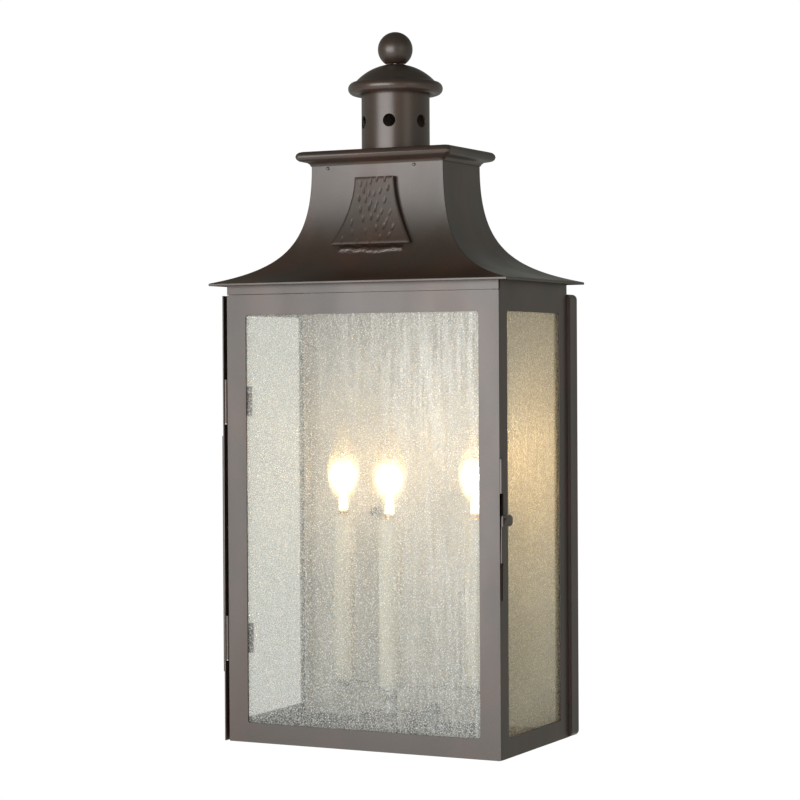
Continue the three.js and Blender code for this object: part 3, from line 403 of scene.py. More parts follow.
def lead_rubber():
    """Matt black sleeving, dusty in places."""
    recipe = Recipe(bpy.data.materials.new("lead_rubber"))
    dust = recipe.noise(recipe.object_place(), 150, 4).band(0.5, 0.8)
    colour = recipe.mix_colour(dust, (0.02, 0.02, 0.02), (0.07, 0.065, 0.06))
    grain = recipe.noise(recipe.object_place(), 1600, 2)
    return recipe.surface(recipe.principled(
        Base_Color=colour, Roughness=0.62 + dust * 0.2, Normal=recipe.bump(grain, 0.02 * MM),
    ))


def seeded_glass():
    """Sheet glass full of seeds (small bubbles), with long reams, that scatters most of the light. Its glints at
    the seeds, a warm lamp glow on the right pane and a reflection stronger to the right and the top are painted.
    """
    look = settings("glass")
    recipe = Recipe(bpy.data.materials.new("seeded_glass"))
    place = recipe.object_place()
    cells = {"Vector": place, "Scale": 1 / look.seed_spacing, "Randomness": 1.0}
    seeds = recipe.node("ShaderNodeTexVoronoi", {}, cells)
    bubble = seeds.band(0.12, 0.48, 1.0, 0.0)
    grit = recipe.noise(place, 1.5 / look.seed_spacing, 2, 0.6).band(0.38, 0.62)
    x = recipe.node("ShaderNodeSeparateXYZ", {}, {0: place}, output=0)
    z = recipe.node("ShaderNodeSeparateXYZ", {}, {0: place}, output=2)
    # Painted reflection: these masks grow towards the right and the top, where the softbox's reflection falls on
    # the door, and make the streaks and the sheen stronger there.
    across = x.band(-90 * MM, 100 * MM, 0.15, 1.0)
    height = z.band(-160 * MM, 170 * MM, 0.5, 1.0)
    # The right pane's mask places painted lamp glow: a warm colour and a larger translucent share.
    painted_glow_pane = x.band(131 * MM, 133 * MM)
    reams = recipe.noise(recipe.object_place((300, 300, 16)), 1, 5, 0.68)
    streaks = reams.band(0.40, 0.66)
    cover = look.veil + bubble * 0.50 + grit * 0.24 + streaks * across * 0.10
    # Seeds and grit: their relief, and painted glints, for the glass takes its lighter tint at them and its darker
    # shade between them.
    seeds_and_painted_glints = bubble * 0.55 + grit * 0.45
    colour = recipe.mix_colour(seeds_and_painted_glints.band(0.1, 0.9), look.shade, look.tint)
    # Painted lamp glow: on the right pane the veil and the light through it turn warm.
    colour = recipe.mix_colour(painted_glow_pane * 0.55, colour, look.painted_glow_tint)
    inner = recipe.mix_colour(painted_glow_pane, look.tint, look.painted_glow_tint)
    normal = recipe.bump(seeds_and_painted_glints + reams * 0.8, 0.3 * MM)
    film = recipe.mix_shader(
        0.36 + painted_glow_pane * 0.2,
        recipe.principled(Base_Color=colour, Roughness=0.16 + grit * 0.12, Normal=normal),
        recipe.node("ShaderNodeBsdfTranslucent", {}, {"Color": inner, "Normal": normal}),
    )
    clear = recipe.node("ShaderNodeBsdfTransparent", {}, {"Color": (0.98, 0.985, 0.965)})
    sheen = recipe.node("ShaderNodeBsdfGlossy", {}, {"Color": (1, 1, 1), "Roughness": 0.28})
    body = recipe.mix_shader(cover, clear, film)
    # The glossy sheen is rendered, but its share is painted: stronger along the reams and towards the right and the
    # top.
    return recipe.surface(recipe.mix_shader((streaks * 0.06 + 0.012) * across * height, body, sheen))


def lit_bulb_glass():
    """Clear lamp glass with a painted glow: bright in the middle round its filament, fading to its edges and tip.
    """
    look = settings("lamp")
    low, high = box_of("middle_bulb_glass")
    recipe = Recipe(bpy.data.materials.new("lit_bulb_glass"))
    place = recipe.object_place()
    haze = recipe.noise(place, 160, 3).band(0.3, 0.7)
    height = recipe.node("ShaderNodeSeparateXYZ", {}, {0: place}, output=2)
    heart = low.z + 0.36 * (high.z - low.z)
    level = height.band(heart - 25 * MM, heart) * height.band(heart, heart + 30 * MM, 1.0, 0.0)
    # Painted glare: the glow on the glass fades with height away from the filament and towards the glass's outline.
    edge = recipe.node("ShaderNodeLayerWeight", {}, {"Blend": 0.5}, output="Facing").band(0.0, 0.8, 1.0, 0.0)
    painted_glare = level * level * edge * edge
    colour = recipe.mix_colour(painted_glare, (0.03, 0.02, 0.01), look.glow)
    film = recipe.principled(
        Base_Color=(1.0, 0.95, 0.86), Roughness=0.05 + haze * 0.05,
        Emission_Color=colour, Emission_Strength=look.brightness,
    )
    clear = recipe.node("ShaderNodeBsdfTransparent", {}, {"Color": (1.0, 0.99, 0.96)})
    return recipe.surface(recipe.mix_shader(0.06 + haze * 0.05 + painted_glare * 0.6, clear, film))


def lit_stem():
    """The glass mount inside a lamp, with the filament's light on it painted as a glow from end to end."""
    look = settings("lamp")
    recipe = Recipe(bpy.data.materials.new("lit_stem"))
    streaks = recipe.noise(recipe.object_place((600, 600, 90)), 1, 2).band(0.3, 0.7)
    colour = recipe.mix_colour(streaks, look.glow, (1.0, 0.92, 0.74))
    return recipe.surface(recipe.principled(
        Base_Color=(0.9, 0.88, 0.8), Roughness=0.15 + streaks * 0.2,
        Emission_Color=colour, Emission_Strength=look.brightness * 0.55,
    ))


def hot_filament():
    """Glowing tungsten, uneven along the wire."""
    recipe = Recipe(bpy.data.materials.new("hot_filament"))
    uneven = recipe.noise(recipe.object_place(), 500, 2)
    colour = recipe.mix_colour(uneven, (1.0, 0.62, 0.28), (1.0, 0.84, 0.56))
    return recipe.surface(recipe.principled(
        Base_Color=(0.5, 0.42, 0.3), Roughness=0.4 + uneven * 0.1,
        Emission_Color=colour, Emission_Strength=40.0,
    ))


FINISHES = {
    "paint": bronze_paint,
    "roof_paint": roof_paint,
    "badge_paint": hammered_paint,
    "bright_aluminium": rolled_aluminium,
    "plated_steel": zinc_plate,
    "brass": turned_brass,
    "candle_sleeve": ivory_sleeve,
    "socket": moulded_phenolic,
    "rubber": lead_rubber,
    "seeded_glass": seeded_glass,
    "bulb_glass": lit_bulb_glass,
    "lamp_stem": lit_stem,
    "filament": hot_filament,
}
MADE_FINISHES = {}


def finish(name):
    if name not in MADE_FINISHES:
        MADE_FINISHES[name] = FINISHES[name]()
    return MADE_FINISHES[name]


# ---- Mesh helpers ----------------------------------------------------------------------------


def box_of(node):
    low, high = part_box(node)
    return Vector(low), Vector(high)


def middle_of(node):
    low, high = box_of(node)
    return (low + high) / 2


def folds_of(bm, degrees):
    """The edges whose two faces meet at more than an angle."""
    limit = math.radians(degrees)
    return [e for e in bm.edges if len(e.link_faces) == 2 and e.calc_face_angle() > limit]


def make_piece(bm, name, nodes=(), slot=None, body=None, crease=52, coat=None):
    """Turns a bmesh into a piece that rides on its body and stands for CAD nodes."""
    bm.normal_update()
    for face in bm.faces:
        face.smooth = True
    for edge in folds_of(bm, crease):
        edge.smooth = False
    mesh = bpy.data.meshes.new(name)
    bm.to_mesh(mesh)
    bm.free()
    piece = bpy.data.objects.new(name, mesh)
    bpy.context.scene.collection.objects.link(piece)
    slot = slot or SLOT_OF[nodes[0]]
    mesh.materials.append(finish(coat or slot))
    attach(piece, body or BODY_OF[nodes[0]])
    if nodes:
        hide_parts(*nodes)
    return piece


def even_shading(piece):
    modifier = piece.modifiers.new("Even shading", "WEIGHTED_NORMAL")
    modifier.keep_sharp = True
    return piece


def merged_copy(node):
    """A node's own mesh, merged, with its flat faces whole."""
    bm = bmesh.new()
    bm.from_mesh(frame["nodes"][node].data)
    bmesh.ops.remove_doubles(bm, verts=bm.verts, dist=0.002 * MM)
    bmesh.ops.dissolve_limit(
        bm, angle_limit=math.radians(0.5), verts=bm.verts, edges=bm.edges, use_dissolve_boundaries=False,
    )
    return bm


def folded_piece(node, radius=None, angle=33):
    """A node in sheet or bar, with its edges rounded as folding and painting leave them."""
    bm = merged_copy(node)
    width = radius or settings("sheet").fold
    bmesh.ops.bevel(
        bm, geom=folds_of(bm, angle), offset=width, offset_type="OFFSET", affect="EDGES",
        segments=2, profile=0.5, material=-1, clamp_overlap=True,
    )
    return even_shading(make_piece(bm, f"{node}_finished", (node,)))


def turned_mesh(profile, centre, steps=64, closed=False, axis="Z"):
    """A turned shape from (radius, place along the axis) pairs in metres."""
    bm = bmesh.new()
    if axis == "Z":
        points = [bm.verts.new((centre.x + radius, centre.y, along)) for radius, along in profile]
    else:
        points = [bm.verts.new((centre.x + radius, along, centre.z)) for radius, along in profile]
    pairs = list(zip(points, points[1:]))
    if closed:
        pairs.append((points[-1], points[0]))
    edges = [bm.edges.new(pair) for pair in pairs]
    bmesh.ops.spin(
        bm, geom=points + edges, cent=centre, axis=(0, 0, 1) if axis == "Z" else (0, 1, 0),
        angle=2 * math.pi, steps=steps, use_merge=True, use_duplicate=False,
    )
    bmesh.ops.remove_doubles(bm, verts=bm.verts, dist=0.001 * MM)
    bmesh.ops.recalc_face_normals(bm, faces=bm.faces)
    return bm


def turned_piece(node, profile, steps=64, closed=False, axis="Z", crease=52):
    bm = turned_mesh(profile, middle_of(node), steps, closed, axis)
    return make_piece(bm, f"{node}_finished", (node,), crease=crease)


def sheet_mesh(columns, rows, place, wrapped=False):
    """A grid whose point (column, row) goes to place(column, row); a wrapped one is sewn up."""
    bm = bmesh.new()
    bmesh.ops.create_grid(bm, x_segments=columns, y_segments=rows, size=0.5)
    for vert in bm.verts:
        vert.co = place(round((vert.co.x + 0.5) * columns), round((vert.co.y + 0.5) * rows))
    if wrapped:
        bmesh.ops.remove_doubles(bm, verts=bm.verts, dist=0.001 * MM)
        bmesh.ops.recalc_face_normals(bm, faces=bm.faces)
    return bm


def arc(radius, first, last, steps, centre=(0.0, 0.0)):
    """Points on a circle from one angle to another, in degrees."""
    angles = [math.radians(first + (last - first) * i / steps) for i in range(steps + 1)]
    return [(centre[0] + radius * math.cos(a), centre[1] + radius * math.sin(a)) for a in angles]


def smooth_line(points, steps):
    """A Catmull-Rom line through points, ends included."""
    ends = [2 * points[0] - points[1], *points, 2 * points[-1] - points[-2]]
    line = []
    for a, b, c, d in zip(ends, ends[1:], ends[2:], ends[3:]):
        for i in range(steps):
            t = i / steps
            line.append(0.5 * (
                2 * b + (c - a) * t + (2 * a - 5 * b + 4 * c - d) * t * t + (3 * b - a - 3 * c + d) * t ** 3
            ))
    return [*line, points[-1]]


# ---- Roof ------------------------------------------------------------------------------------

EAVE_LIP = 2.3 * MM
CORNICE_OVERHANG = 12.2 * MM
CORNICE_COLLAR = 7 * MM
BADGE_TOP_SHARE = 40 / 83
BADGE_FLARE = 1.8
BADGE_STAND_OFF = 0.85 * MM
BADGE_THICKNESS = 4.6 * MM


class RoofLine:
    """The sweep of the roof from its eave to its neck, worked out from the frame."""

    def __init__(self):
        low, high = box_of("roof_shell")
        cornice_low, cornice_high = box_of("cornice_plate")
        self.middle = (low + high) / 2
        self.foot = low.z
        self.top = high.z
        self.neck = cornice_low.z + CORNICE_COLLAR
        self.eave_half = (high - low) / 2
        self.neck_half = (cornice_high - cornice_low) / 2 - Vector((CORNICE_OVERHANG, CORNICE_OVERHANG, 0))
        self.forward = self.middle.y - (cornice_low.y + cornice_high.y) / 2

    def at(self, share):
        """Half width, half depth, middle's Y and height, at a share of the way up the sweep."""
        rise = self.neck - self.foot
        handles = ((1.0, EAVE_LIP), (0.275, 0.14 * rise), (0.0, 0.335 * rise), (0.0, rise))
        weights = (
            (1 - share) ** 3, 3 * share * (1 - share) ** 2, 3 * share ** 2 * (1 - share), share ** 3,
        )
        spread = sum(w * handle[0] for w, handle in zip(weights, handles))
        height = sum(w * handle[1] for w, handle in zip(weights, handles))
        half = self.neck_half.lerp(self.eave_half, spread)
        return half.x, half.y, self.middle.y - self.forward * (1 - spread), self.foot + height

    def front(self, z):
        """Y of the front face at a height."""
        low, high = 0.0, 1.0
        for _ in range(30):
            share = (low + high) / 2
            if self.at(share)[3] < z:
                low = share
            else:
                high = share
        _, half_y, middle_y, _ = self.at(high)
        return middle_y - half_y


def build_roof():
    line = RoofLine()
    steps = settings("roof").steps
    rings = [line.at(i / steps) for i in range(steps + 1)]
    rings.insert(0, (rings[0][0], rings[0][1], rings[0][2], line.foot))
    rings.append((rings[-1][0], rings[-1][1], rings[-1][2], line.top))
    corners = ((-1, -1), (1, -1), (1, 1), (-1, 1))

    def place(column, row):
        side_x, side_y = corners[column % 4]
        half_x, half_y, middle_y, z = rings[row]
        return Vector((side_x * half_x, middle_y + side_y * half_y, z))

    bm = sheet_mesh(4, len(rings) - 1, place, wrapped=True)
    roof = make_piece(bm, "roof_shell_finished", ("roof_shell",), crease=180, coat="roof_paint")
    wall = roof.modifiers.new("Sheet", "SOLIDIFY")
    wall.thickness = settings("sheet").wall
    wall.offset = -1
    wall.use_even_offset = True
    hips = roof.modifiers.new("Hips", "BEVEL")
    hips.width = settings("roof").crease
    hips.segments = 3
    hips.limit_method = "ANGLE"
    hips.angle_limit = math.radians(14)
    even_shading(roof)


def build_badge():
    """The flared plate on the front of the roof, with slanting hammer marks."""
    line = RoofLine()
    look = settings("badge")
    low, high = box_of("badge_plate")
    columns, rows = 108, 80
    half_bottom = (high.x - low.x) / 2
    height = high.z - low.z
    marks = []
    for row in range(look.dents_up):
        for column in range(look.dents_across):
            wobble = math.sin(12.9 * row + 7.3 * column) , math.sin(5.1 * row + 17.7 * column)
            across = (column + 0.5 + 0.28 * wobble[0] + 0.5 * (row % 2)) / (look.dents_across + 0.5)
            up = (row + 0.5 + 0.3 * wobble[1]) / look.dents_up
            marks.append((2 * across - 1, up, math.radians(84 + 12 * wobble[0]), 0.7 + 0.3 * wobble[1]))

    def half_at(up):
        flare = (1 - up) ** BADGE_FLARE
        return half_bottom * (BADGE_TOP_SHARE + (1 - BADGE_TOP_SHARE) * flare)

    def place(column, row):
        up = row / rows
        x = (2 * column / columns - 1) * half_at(up)
        z = low.z + up * height
        sunk = 0.0
        for across, mark_up, lean, share in marks:
            dx = x - across * half_at(mark_up) * 0.92
            dz = z - (low.z + mark_up * height)
            along = dx * math.cos(lean) + dz * math.sin(lean)
            beside = -dx * math.sin(lean) + dz * math.cos(lean)
            sunk += share * math.exp(-((along / (2.5 * MM)) ** 4) - (beside / (0.9 * MM)) ** 2)
        edge = min(1.0, min(1 - abs(2 * column / columns - 1), 2 * min(up, 1 - up)) / 0.06)
        y = line.front(z) - BADGE_STAND_OFF - BADGE_THICKNESS + look.depth * min(sunk, 1.2) * edge
        return Vector((x, y + (1 - edge) * 0.5 * MM, z))

    bm = sheet_mesh(columns, rows, place)
    bmesh.ops.recalc_face_normals(bm, faces=bm.faces)
    if sum(face.normal.y for face in bm.faces) > 0:
        bmesh.ops.reverse_faces(bm, faces=bm.faces)
    rim = [e for e in bm.edges if e.is_boundary]
    walls = bmesh.ops.extrude_edge_only(bm, edges=rim)["geom"]
    back = [v for v in walls if isinstance(v, bmesh.types.BMVert)]
    for vert in back:
        vert.co.y = line.front(vert.co.z) - BADGE_STAND_OFF
    bmesh.ops.holes_fill(bm, edges=[e for e in bm.edges if e.is_boundary], sides=0)
    bmesh.ops.recalc_face_normals(bm, faces=bm.faces)
    make_piece(bm, "badge_plate_finished", ("badge_plate",), crease=40)


# ---- Chimney, cap and finial -----------------------------------------------------------------

SHEET = 1.5 * MM
CHIMNEY_FLANGE = 4 * MM
VENT_RADIUS = 5.9 * MM
VENT_HEIGHT = 27.1 * MM
VENT_ANGLE = 16
CAP_BEAD = 6 * MM
FINIAL_SEAT = 9.6 * MM


def cut_through(piece, cutter_mesh):
    """Cuts a closed mesh out of a piece, for good."""
    mesh = bpy.data.meshes.new("cutter")
    cutter_mesh.to_mesh(mesh)
    cutter_mesh.free()
    cutter = bpy.data.objects.new("cutter", mesh)
    bpy.context.scene.collection.objects.link(cutter)
    modifier = piece.modifiers.new("Cut", "BOOLEAN")
    modifier.operation = "DIFFERENCE"
    modifier.solver = "EXACT"
    modifier.object = cutter
    drawn = piece.evaluated_get(bpy.context.evaluated_depsgraph_get())
    holed = bpy.data.meshes.new_from_object(drawn)
    piece.modifiers.clear()
    piece.data = holed
    bpy.data.objects.remove(cutter)
    bpy.data.meshes.remove(mesh)


def build_chimney():
    low, high = box_of("chimney_tube")
    cornice_top = box_of("cornice_plate")[1].z
    radius = (high.y - low.y) / 2 - CHIMNEY_FLANGE
    inner = radius - SHEET
    wide = radius + CHIMNEY_FLANGE
    profile = [
        (inner, low.z), (wide, low.z), (wide, low.z + SHEET), (radius + 0.6 * MM, low.z + SHEET),
        (radius, low.z + SHEET + 0.6 * MM), (radius, high.z - 0.4 * MM), (radius - 0.4 * MM, high.z),
        (inner + 0.4 * MM, high.z), (inner, high.z - 0.4 * MM),
    ]
    tube = turned_piece("chimney_tube", profile, steps=96, closed=True)
    centre = middle_of("chimney_tube")
    drills = bmesh.new()
    for i in range(3):
        turn = Matrix.Rotation(math.radians(VENT_ANGLE + 60 * i), 4, "Z")
        place = Matrix.Translation((centre.x, centre.y, cornice_top + VENT_HEIGHT))
        lie = Matrix.Rotation(math.pi / 2, 4, "X")
        bmesh.ops.create_cone(
            drills, cap_ends=True, segments=32, radius1=VENT_RADIUS, radius2=VENT_RADIUS,
            depth=2.4 * radius, matrix=place @ turn @ lie,
        )
    cut_through(tube, drills)
    rims = tube.modifiers.new("Rims", "BEVEL")
    rims.width = 0.35 * MM
    rims.segments = 2
    rims.limit_method = "ANGLE"
    rims.angle_limit = math.radians(40)
    even_shading(tube)


def build_cap():
    low, high = box_of("chimney_cap")
    bead_z = low.z + CAP_BEAD
    bead_x = (high.y - low.y) / 2 - CAP_BEAD
    rim_x = bead_x - 0.9 * MM
    rim_z = bead_z + CAP_BEAD + 0.4 * MM
    drop = high.z - rim_z
    dome = (rim_x ** 2 + drop ** 2) / (2 * drop)
    bore = 3.3 * MM
    rim_angle = math.degrees(math.acos(rim_x / dome))
    centre = (0.0, high.z - dome)
    outside = arc(dome, math.degrees(math.acos(bore / dome)), rim_angle, 14, centre)
    bead = arc(CAP_BEAD, 78, -178, 18, (bead_x, bead_z))
    inside_rim = math.degrees(math.acos((bead_x - 2.5 * MM) / (dome - SHEET)))
    inside = arc(dome - SHEET, inside_rim, math.degrees(math.acos(bore / (dome - SHEET))), 12, centre)
    turned_piece("chimney_cap", outside + bead + inside, steps=96, closed=True, crease=60)


def build_finial():
    low, high = box_of("ball_finial")
    radius = (high.y - low.y) / 2
    centre_z = high.z - radius
    seat = math.degrees(math.asin((low.z - centre_z) / radius))
    ball = arc(radius, 90, seat, 28, (0.0, centre_z))
    ball[0] = (0.0, high.z)
    bore = 3.3 * MM
    bore_top = low.z + 12 * MM
    profile = ball + [(ball[-1][0] - 0.5 * MM, low.z), (bore, low.z), (bore, bore_top), (0.0, bore_top)]
    turned_piece("ball_finial", profile, steps=72, crease=60)


# ---- Lamps -----------------------------------------------------------------------------------


def build_sleeve(name):
    node = f"{name}_candle_sleeve"
    low, high = box_of(node)
    outer = (high.y - low.y) / 2
    inner = outer - 0.9 * MM
    lip = 0.25 * MM
    profile = [
        (inner, low.z + lip), (inner + lip, low.z), (outer - lip, low.z), (outer, low.z + lip),
        *[(outer, low.z + (high.z - low.z) * i / 12) for i in range(1, 12)],
        (outer, high.z - lip), (outer - lip, high.z), (inner + lip, high.z), (inner, high.z - lip),
    ]
    turned_piece(node, profile, steps=48, closed=True)


def build_bulb(name):
    """Lamp glass, threaded base, glass stem and a glowing hairpin filament."""
    look = settings("lamp")
    glass = f"{name}_bulb_glass"
    low, high = box_of(glass)
    centre = middle_of(glass)
    radius = (high.y - low.y) / 2
    length = high.z - low.z
    outline = (
        (5.4 * MM / radius, 0), (6 * MM / radius, 0.1), (0.8, 0.25), (1, 0.41), (0.84, 0.62),
        (0.42, 0.85), (0.15, 0.975), (0, 1),
    )
    points = [Vector((share * radius, 0, low.z + up * length)) for share, up in outline]
    outer = [(max(point.x, 0.0), point.z) for point in smooth_line(points, 6)]
    outer[-1] = (0.0, high.z)
    inner = [(max(r - 0.8 * MM, 0.3 * MM), min(z, high.z - 3 * MM)) for r, z in outer[:-4]]
    profile = [*outer[::-1], *inner, (0.0, high.z - 4 * MM)]
    turned_piece(glass, profile, steps=48, crease=70)

    base = f"{name}_bulb_base"
    base_low, base_high = box_of(base)
    base_radius = (base_high.y - base_low.y) / 2
    thread = []
    turns = 9
    thread_foot = base_low.z + 4 * MM
    for i in range(4 * turns + 1):
        ripple = 0.35 * MM * (0.5 - 0.5 * math.cos(math.pi * i / 2))
        thread.append((base_radius - ripple, thread_foot + (base_high.z - thread_foot) * i / (4 * turns)))
    profile = [(0.0, base_low.z), (3 * MM, base_low.z), *thread, (0.0, base_high.z)]
    turned_piece(base, profile, steps=40)

    foot = low.z + 1 * MM
    stem = [
        (0.0, foot), (4.4 * MM, foot), (4.4 * MM, foot + 3 * MM), (4.1 * MM, foot + 10 * MM),
        (3.2 * MM, foot + 17 * MM), (1.8 * MM, foot + 22 * MM), (0.0, foot + 25 * MM),
    ]
    make_piece(
        turned_mesh(stem, centre, 24), f"{name}_lamp_stem", slot="bulb_glass", body=BODY_OF[glass],
        crease=70, coat="lamp_stem",
    )

    spread = 6.5 * MM
    top = foot + 38 * MM
    start = foot + 22 * MM
    legs = [Vector((-spread, 0, start)), Vector((-spread, 0, top)), Vector((0, 0, top + 6 * MM)),
            Vector((spread, 0, top)), Vector((spread, 0, start))]
    route = smooth_line(legs, look.filament_turns)
    wire = bpy.data.curves.new(f"{name}_filament", "CURVE")
    wire.dimensions = "3D"
    wire.bevel_depth = 0.28 * MM
    wire.bevel_resolution = 1
    spline = wire.splines.new("POLY")
    spline.points.add(len(route) - 1)
    for i, (point, at) in enumerate(zip(spline.points, route)):
        coil = Vector((0.9 * MM * math.cos(1.9 * i), 0.9 * MM * math.sin(1.9 * i), 0))
        point.co = (*(at + coil + Vector((centre.x, centre.y, 0))), 1)
    filament = bpy.data.objects.new(f"{name}_filament", wire)
    bpy.context.scene.collection.objects.link(filament)
    wire.materials.append(finish("filament"))
    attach(filament, BODY_OF[glass])

    light = bpy.data.lights.new(f"{name}_lamp_light", "POINT")
    light.energy = look.power * LAMP_SHARES[name]
    light.color = look.glow
    light.shadow_soft_size = 9 * MM
    bright = bpy.data.objects.new(f"{name}_lamp_light", light)
    bright.location = (centre.x, centre.y, low.z + 0.42 * length)
    bpy.context.scene.collection.objects.link(bright)


def build_canopy():
    low, high = box_of("lamp_canopy")
    radius = (high.y - low.y) / 2
    height = high.z - low.z
    hole = 7.3 * MM
    wall = 1.2 * MM
    outer = [(radius, low.z), (radius, low.z + height - 8 * MM)]
    outer += arc(8 * MM, 0, 90, 8, (radius - 8 * MM, high.z - 8 * MM))
    inner = arc(8 * MM - wall, 90, 0, 6, (radius - 8 * MM, high.z - 8 * MM))
    profile = outer + [(hole, high.z), (hole, high.z - wall)] + inner + [(radius - wall, low.z)]
    turned_piece("lamp_canopy", profile, steps=64, closed=True)


def build_stem():
    low, high = box_of("bracket_stem")
    outer = (high.y - low.y) / 2
    bore = 5 * MM
    step = 0.5 * MM
    profile = [
        (bore, low.z), (outer - step, low.z), (outer, low.z + step), (outer, low.z + 5 * MM),
        (outer - 1.2 * MM, low.z + 6 * MM), (outer - 1.2 * MM, high.z - 6 * MM), (outer, high.z - 5 * MM),
        (outer, high.z - step), (outer - step, high.z), (bore, high.z),
    ]
    turned_piece("bracket_stem", profile, steps=40, closed=True)


# ---- Fasteners -------------------------------------------------------------------------------


def build_threaded(node, axis, pitch=0.8 * MM, depth=0.25 * MM):
    """A stud or a rod with a rolled thread."""
    low, high = box_of(node)
    along = 2 if axis == "Z" else 1
    across = 0
    radius = (high[across] - low[across]) / 2
    start, end = low[along], high[along]
    count = int((end - start) / pitch)
    profile = [(0.0, start), (radius - depth, start)]
    for i in range(1, 2 * count):
        profile.append((radius if i % 2 else radius - depth, start + (end - start) * i / (2 * count)))
    profile += [(radius - depth, end), (0.0, end)]
    turned_piece(node, profile, steps=24, axis=axis, crease=75)


# ---- Stage -----------------------------------------------------------------------------------


def pale_floor():
    recipe = Recipe(bpy.data.materials.new("pale_floor"))
    speck = recipe.noise(recipe.object_place(), 6, 3)
    colour = recipe.mix_colour(speck, (0.86, 0.86, 0.86), (0.90, 0.90, 0.90))
    return recipe.surface(recipe.principled(
        Base_Color=colour, Roughness=0.8, Emission_Color=(1, 1, 1), Emission_Strength=0.35,
    ))


def studio_world():
    """White all round for the eye, and a softer light from the sides than from above."""
    world = bpy.data.worlds.new("studio_world")
    bpy.context.scene.world = world
    recipe = Recipe(world)
    direction = recipe.node("ShaderNodeTexCoord", output="Generated")
    height = recipe.node("ShaderNodeSeparateXYZ", {}, {0: direction}, output=2)
    seen = recipe.node("ShaderNodeLightPath", output="Is Camera Ray")
    level = height.band(0.1, 0.7, 0.36, 0.12)
    strength = seen * 1.02 + (1 - seen) * level
    colour = recipe.mix_colour(seen, (0.97, 1.0, 0.91), (1, 1, 1))
    recipe.surface(
        recipe.node("ShaderNodeBackground", {}, {"Color": colour, "Strength": strength}),
        "ShaderNodeOutputWorld",
    )


def softbox(name, place, aim, size, radiance, tone=(1, 1, 1)):
    lamp = bpy.data.lights.new(name, "AREA")
    lamp.shape = "RECTANGLE"
    lamp.size, lamp.size_y = size
    lamp.energy = radiance * math.pi * size[0] * size[1]
    lamp.color = tone
    holder = bpy.data.objects.new(name, lamp)
    look = Vector(aim) - Vector(place)
    turn = look.to_track_quat("-Z", "Y").to_matrix().to_4x4()
    holder.matrix_world = Matrix.Translation(place) @ turn
    holder.visible_camera = False
    bpy.context.scene.collection.objects.link(holder)
    return holder


def build_stage():
    scene = bpy.context.scene
    look = settings("stage")
    scene.view_settings.view_transform = "Standard"

    bm = bmesh.new()
    bmesh.ops.create_circle(bm, cap_ends=True, segments=96, radius=3.4)
    bmesh.ops.translate(bm, verts=bm.verts, vec=(0, -0.6, CAD_BOX[0][2] - 1.1))
    mesh = bpy.data.meshes.new("floor")
    bm.to_mesh(mesh)
    bm.free()
    floor = bpy.data.objects.new("floor", mesh)
    scene.collection.objects.link(floor)
    mesh.materials.append(pale_floor())
    studio_world()

    aim = Vector(look.aim)
    softbox("front_softbox", (-0.42, -2.8, 0.25), aim, (2.6, 1.6), 4.25)
    softbox("right_softbox", (2.5, -1.2, 0.4), aim, (1.1, 1.5), 0.75, (0.98, 1.0, 0.94))

    outward = Vector((
        math.sin(look.azimuth) * math.cos(look.elevation),
        -math.cos(look.azimuth) * math.cos(look.elevation),
        math.sin(look.elevation),
    ))
    camera = bpy.data.cameras.new("camera")
    camera.lens = look.lens
    camera.sensor_width = 36
    viewer = bpy.data.objects.new("camera", camera)
    facing = (-outward).to_track_quat("-Z", "Y").to_matrix().to_4x4()
    roll = Matrix.Rotation(look.roll, 4, "Z")
    viewer.matrix_world = Matrix.Translation(aim + look.distance * outward) @ facing @ roll
    scene.collection.objects.link(viewer)
    scene.camera = viewer


# ---- Operators -------------------------------------------------------------------------------


class LANTERN_OT_stage(Operator):
    """Add the floor, the studio light and the camera"""

    bl_idname = "lantern.stage"
    bl_label = "Stage"

    def execute(self, context):
        build_stage()
        return {"FINISHED"}


class LANTERN_OT_body(Operator):
    """Add the wall pan, back, bottom, side frames and header"""

    bl_idname = "lantern.body"
    bl_label = "Body sheets"

    def execute(self, context):
        for node in (
            "wall_pan", "back_panel", "bottom_plate", "left_side_frame", "right_side_frame",
            "header_rail", "hinge_jamb", "left_glass_retainer", "right_glass_retainer", "reflector_plate",
        ):
            folded_piece(node)
        return {"FINISHED"}


class LANTERN_OT_door(Operator):
    """Add the door frame, its retainer, the hinges and the latch"""

    bl_idname = "lantern.door"
    bl_label = "Door, hinges and latch"

    def execute(self, context):
        folded_piece("door_frame")
        folded_piece("door_glass_retainer", 0.15 * MM)
        for place in ("lower", "upper"):
            for part in ("hinge_body_leaf", "hinge_door_leaf", "hinge_pin"):
                folded_piece(f"{place}_{part}", 0.12 * MM)
        folded_piece("latch_lever", 0.25 * MM)
        folded_piece("latch_rivet", 0.15 * MM)
        return {"FINISHED"}


class LANTERN_OT_glazing(Operator):
    """Add the three panes of seeded glass"""

    bl_idname = "lantern.glazing"
    bl_label = "Glazing"

    def execute(self, context):
        for node in ("door_glass", "left_glass", "right_glass"):
            folded_piece(node, 0.4 * MM)
        return {"FINISHED"}


class LANTERN_OT_roof(Operator):
    """Add the swept roof, the cornice and its rivets"""

    bl_idname = "lantern.roof"
    bl_label = "Roof and cornice"

    def execute(self, context):
        build_roof()
        folded_piece("cornice_plate", 0.3 * MM)
        for side in ("left", "right"):
            folded_piece(f"neck_rivet_{side}", 0.15 * MM)
        return {"FINISHED"}


class LANTERN_OT_badge(Operator):
    """Add the hammered plate on the front of the roof"""

    bl_idname = "lantern.badge"
    bl_label = "Hammered plate"

    def execute(self, context):
        build_badge()
        return {"FINISHED"}


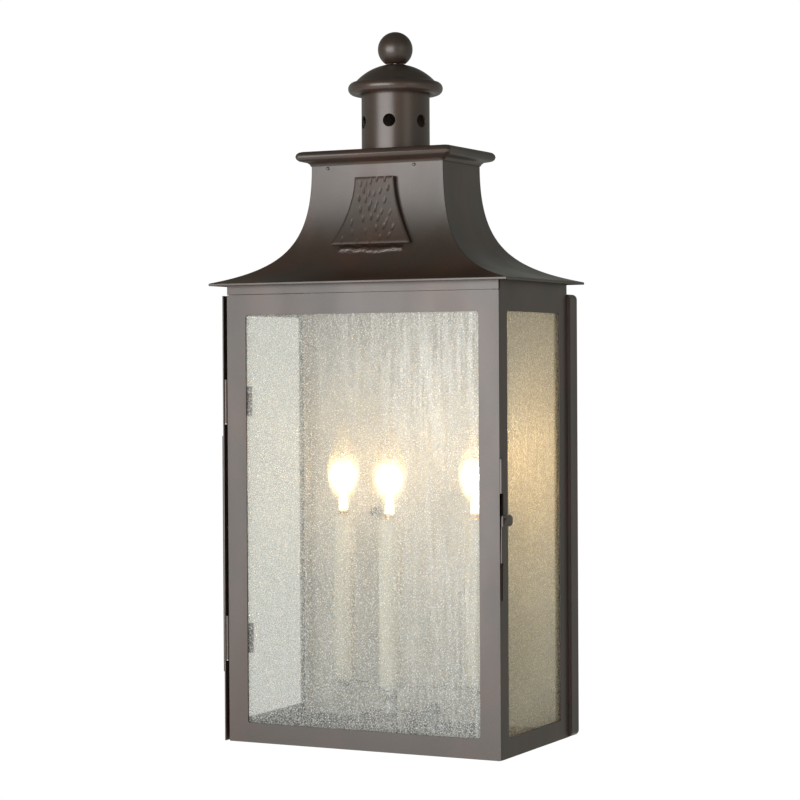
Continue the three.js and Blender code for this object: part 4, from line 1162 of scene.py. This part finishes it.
class LANTERN_OT_chimney(Operator):
    """Add the vented chimney, its cap, the ball finial and what holds them down"""

    bl_idname = "lantern.chimney"
    bl_label = "Chimney, cap and finial"

    def execute(self, context):
        build_chimney()
        build_cap()
        build_finial()
        build_threaded("finial_rod", "Z", 1.0 * MM, 0.3 * MM)
        folded_piece("chimney_strap", 0.3 * MM)
        folded_piece("rod_nut", 0.3 * MM)
        return {"FINISHED"}


class LANTERN_OT_lamps(Operator):
    """Add the candle sleeves, sockets, lit lamps, bracket, canopy and lead"""

    bl_idname = "lantern.lamps"
    bl_label = "Lamps"

    def execute(self, context):
        for name in LAMP_NAMES:
            build_sleeve(name)
            build_bulb(name)
            folded_piece(f"{name}_lamp_socket", 0.2 * MM)
        build_canopy()
        build_stem()
        folded_piece("lamp_bracket", 0.4 * MM)
        folded_piece("lamp_lead", 0.2 * MM, 60)
        folded_piece("lead_grommet", 0.4 * MM)
        return {"FINISHED"}


class LANTERN_OT_wall_fixing(Operator):
    """Add the crossbar, studs, cap nuts and ground screw"""

    bl_idname = "lantern.wall_fixing"
    bl_label = "Wall fixing"

    def execute(self, context):
        folded_piece("mounting_crossbar", 0.35 * MM)
        folded_piece("ground_screw", 0.25 * MM)
        for side in ("left", "right"):
            build_threaded(f"mounting_stud_{side}", "Y")
            folded_piece(f"cap_nut_{side}", 0.3 * MM, 40)
        return {"FINISHED"}


BUILDERS = (
    LANTERN_OT_stage,
    LANTERN_OT_body,
    LANTERN_OT_door,
    LANTERN_OT_glazing,
    LANTERN_OT_roof,
    LANTERN_OT_badge,
    LANTERN_OT_chimney,
    LANTERN_OT_lamps,
    LANTERN_OT_wall_fixing,
)


class LANTERN_PT_panel(Panel):
    """Lists the lantern's pieces and their settings"""

    bl_idname = "LANTERN_PT_panel"
    bl_label = "Wall Lantern"
    bl_space_type = "VIEW_3D"
    bl_region_type = "UI"
    bl_category = "Lantern"

    def draw(self, context):
        for builder in BUILDERS:
            self.layout.operator(builder.bl_idname)
        for group, kind in SETTINGS:
            box = self.layout.box()
            box.label(text=group.capitalize())
            for name in kind.__annotations__:
                box.prop(getattr(context.scene, f"lantern_{group}"), name)


def register():
    for group, kind in SETTINGS:
        bpy.utils.register_class(kind)
        setattr(bpy.types.Scene, f"lantern_{group}", PointerProperty(type=kind))
    for kind in (*BUILDERS, LANTERN_PT_panel):
        bpy.utils.register_class(kind)


def unregister():
    for kind in reversed((*BUILDERS, LANTERN_PT_panel)):
        bpy.utils.unregister_class(kind)
    for group, kind in reversed(SETTINGS):
        delattr(bpy.types.Scene, f"lantern_{group}")
        bpy.utils.unregister_class(kind)


def main():
    register()
    for builder in BUILDERS:
        category, name = builder.bl_idname.split(".")
        getattr(getattr(bpy.ops, category), name)()


if __name__ == "__main__":
    main()
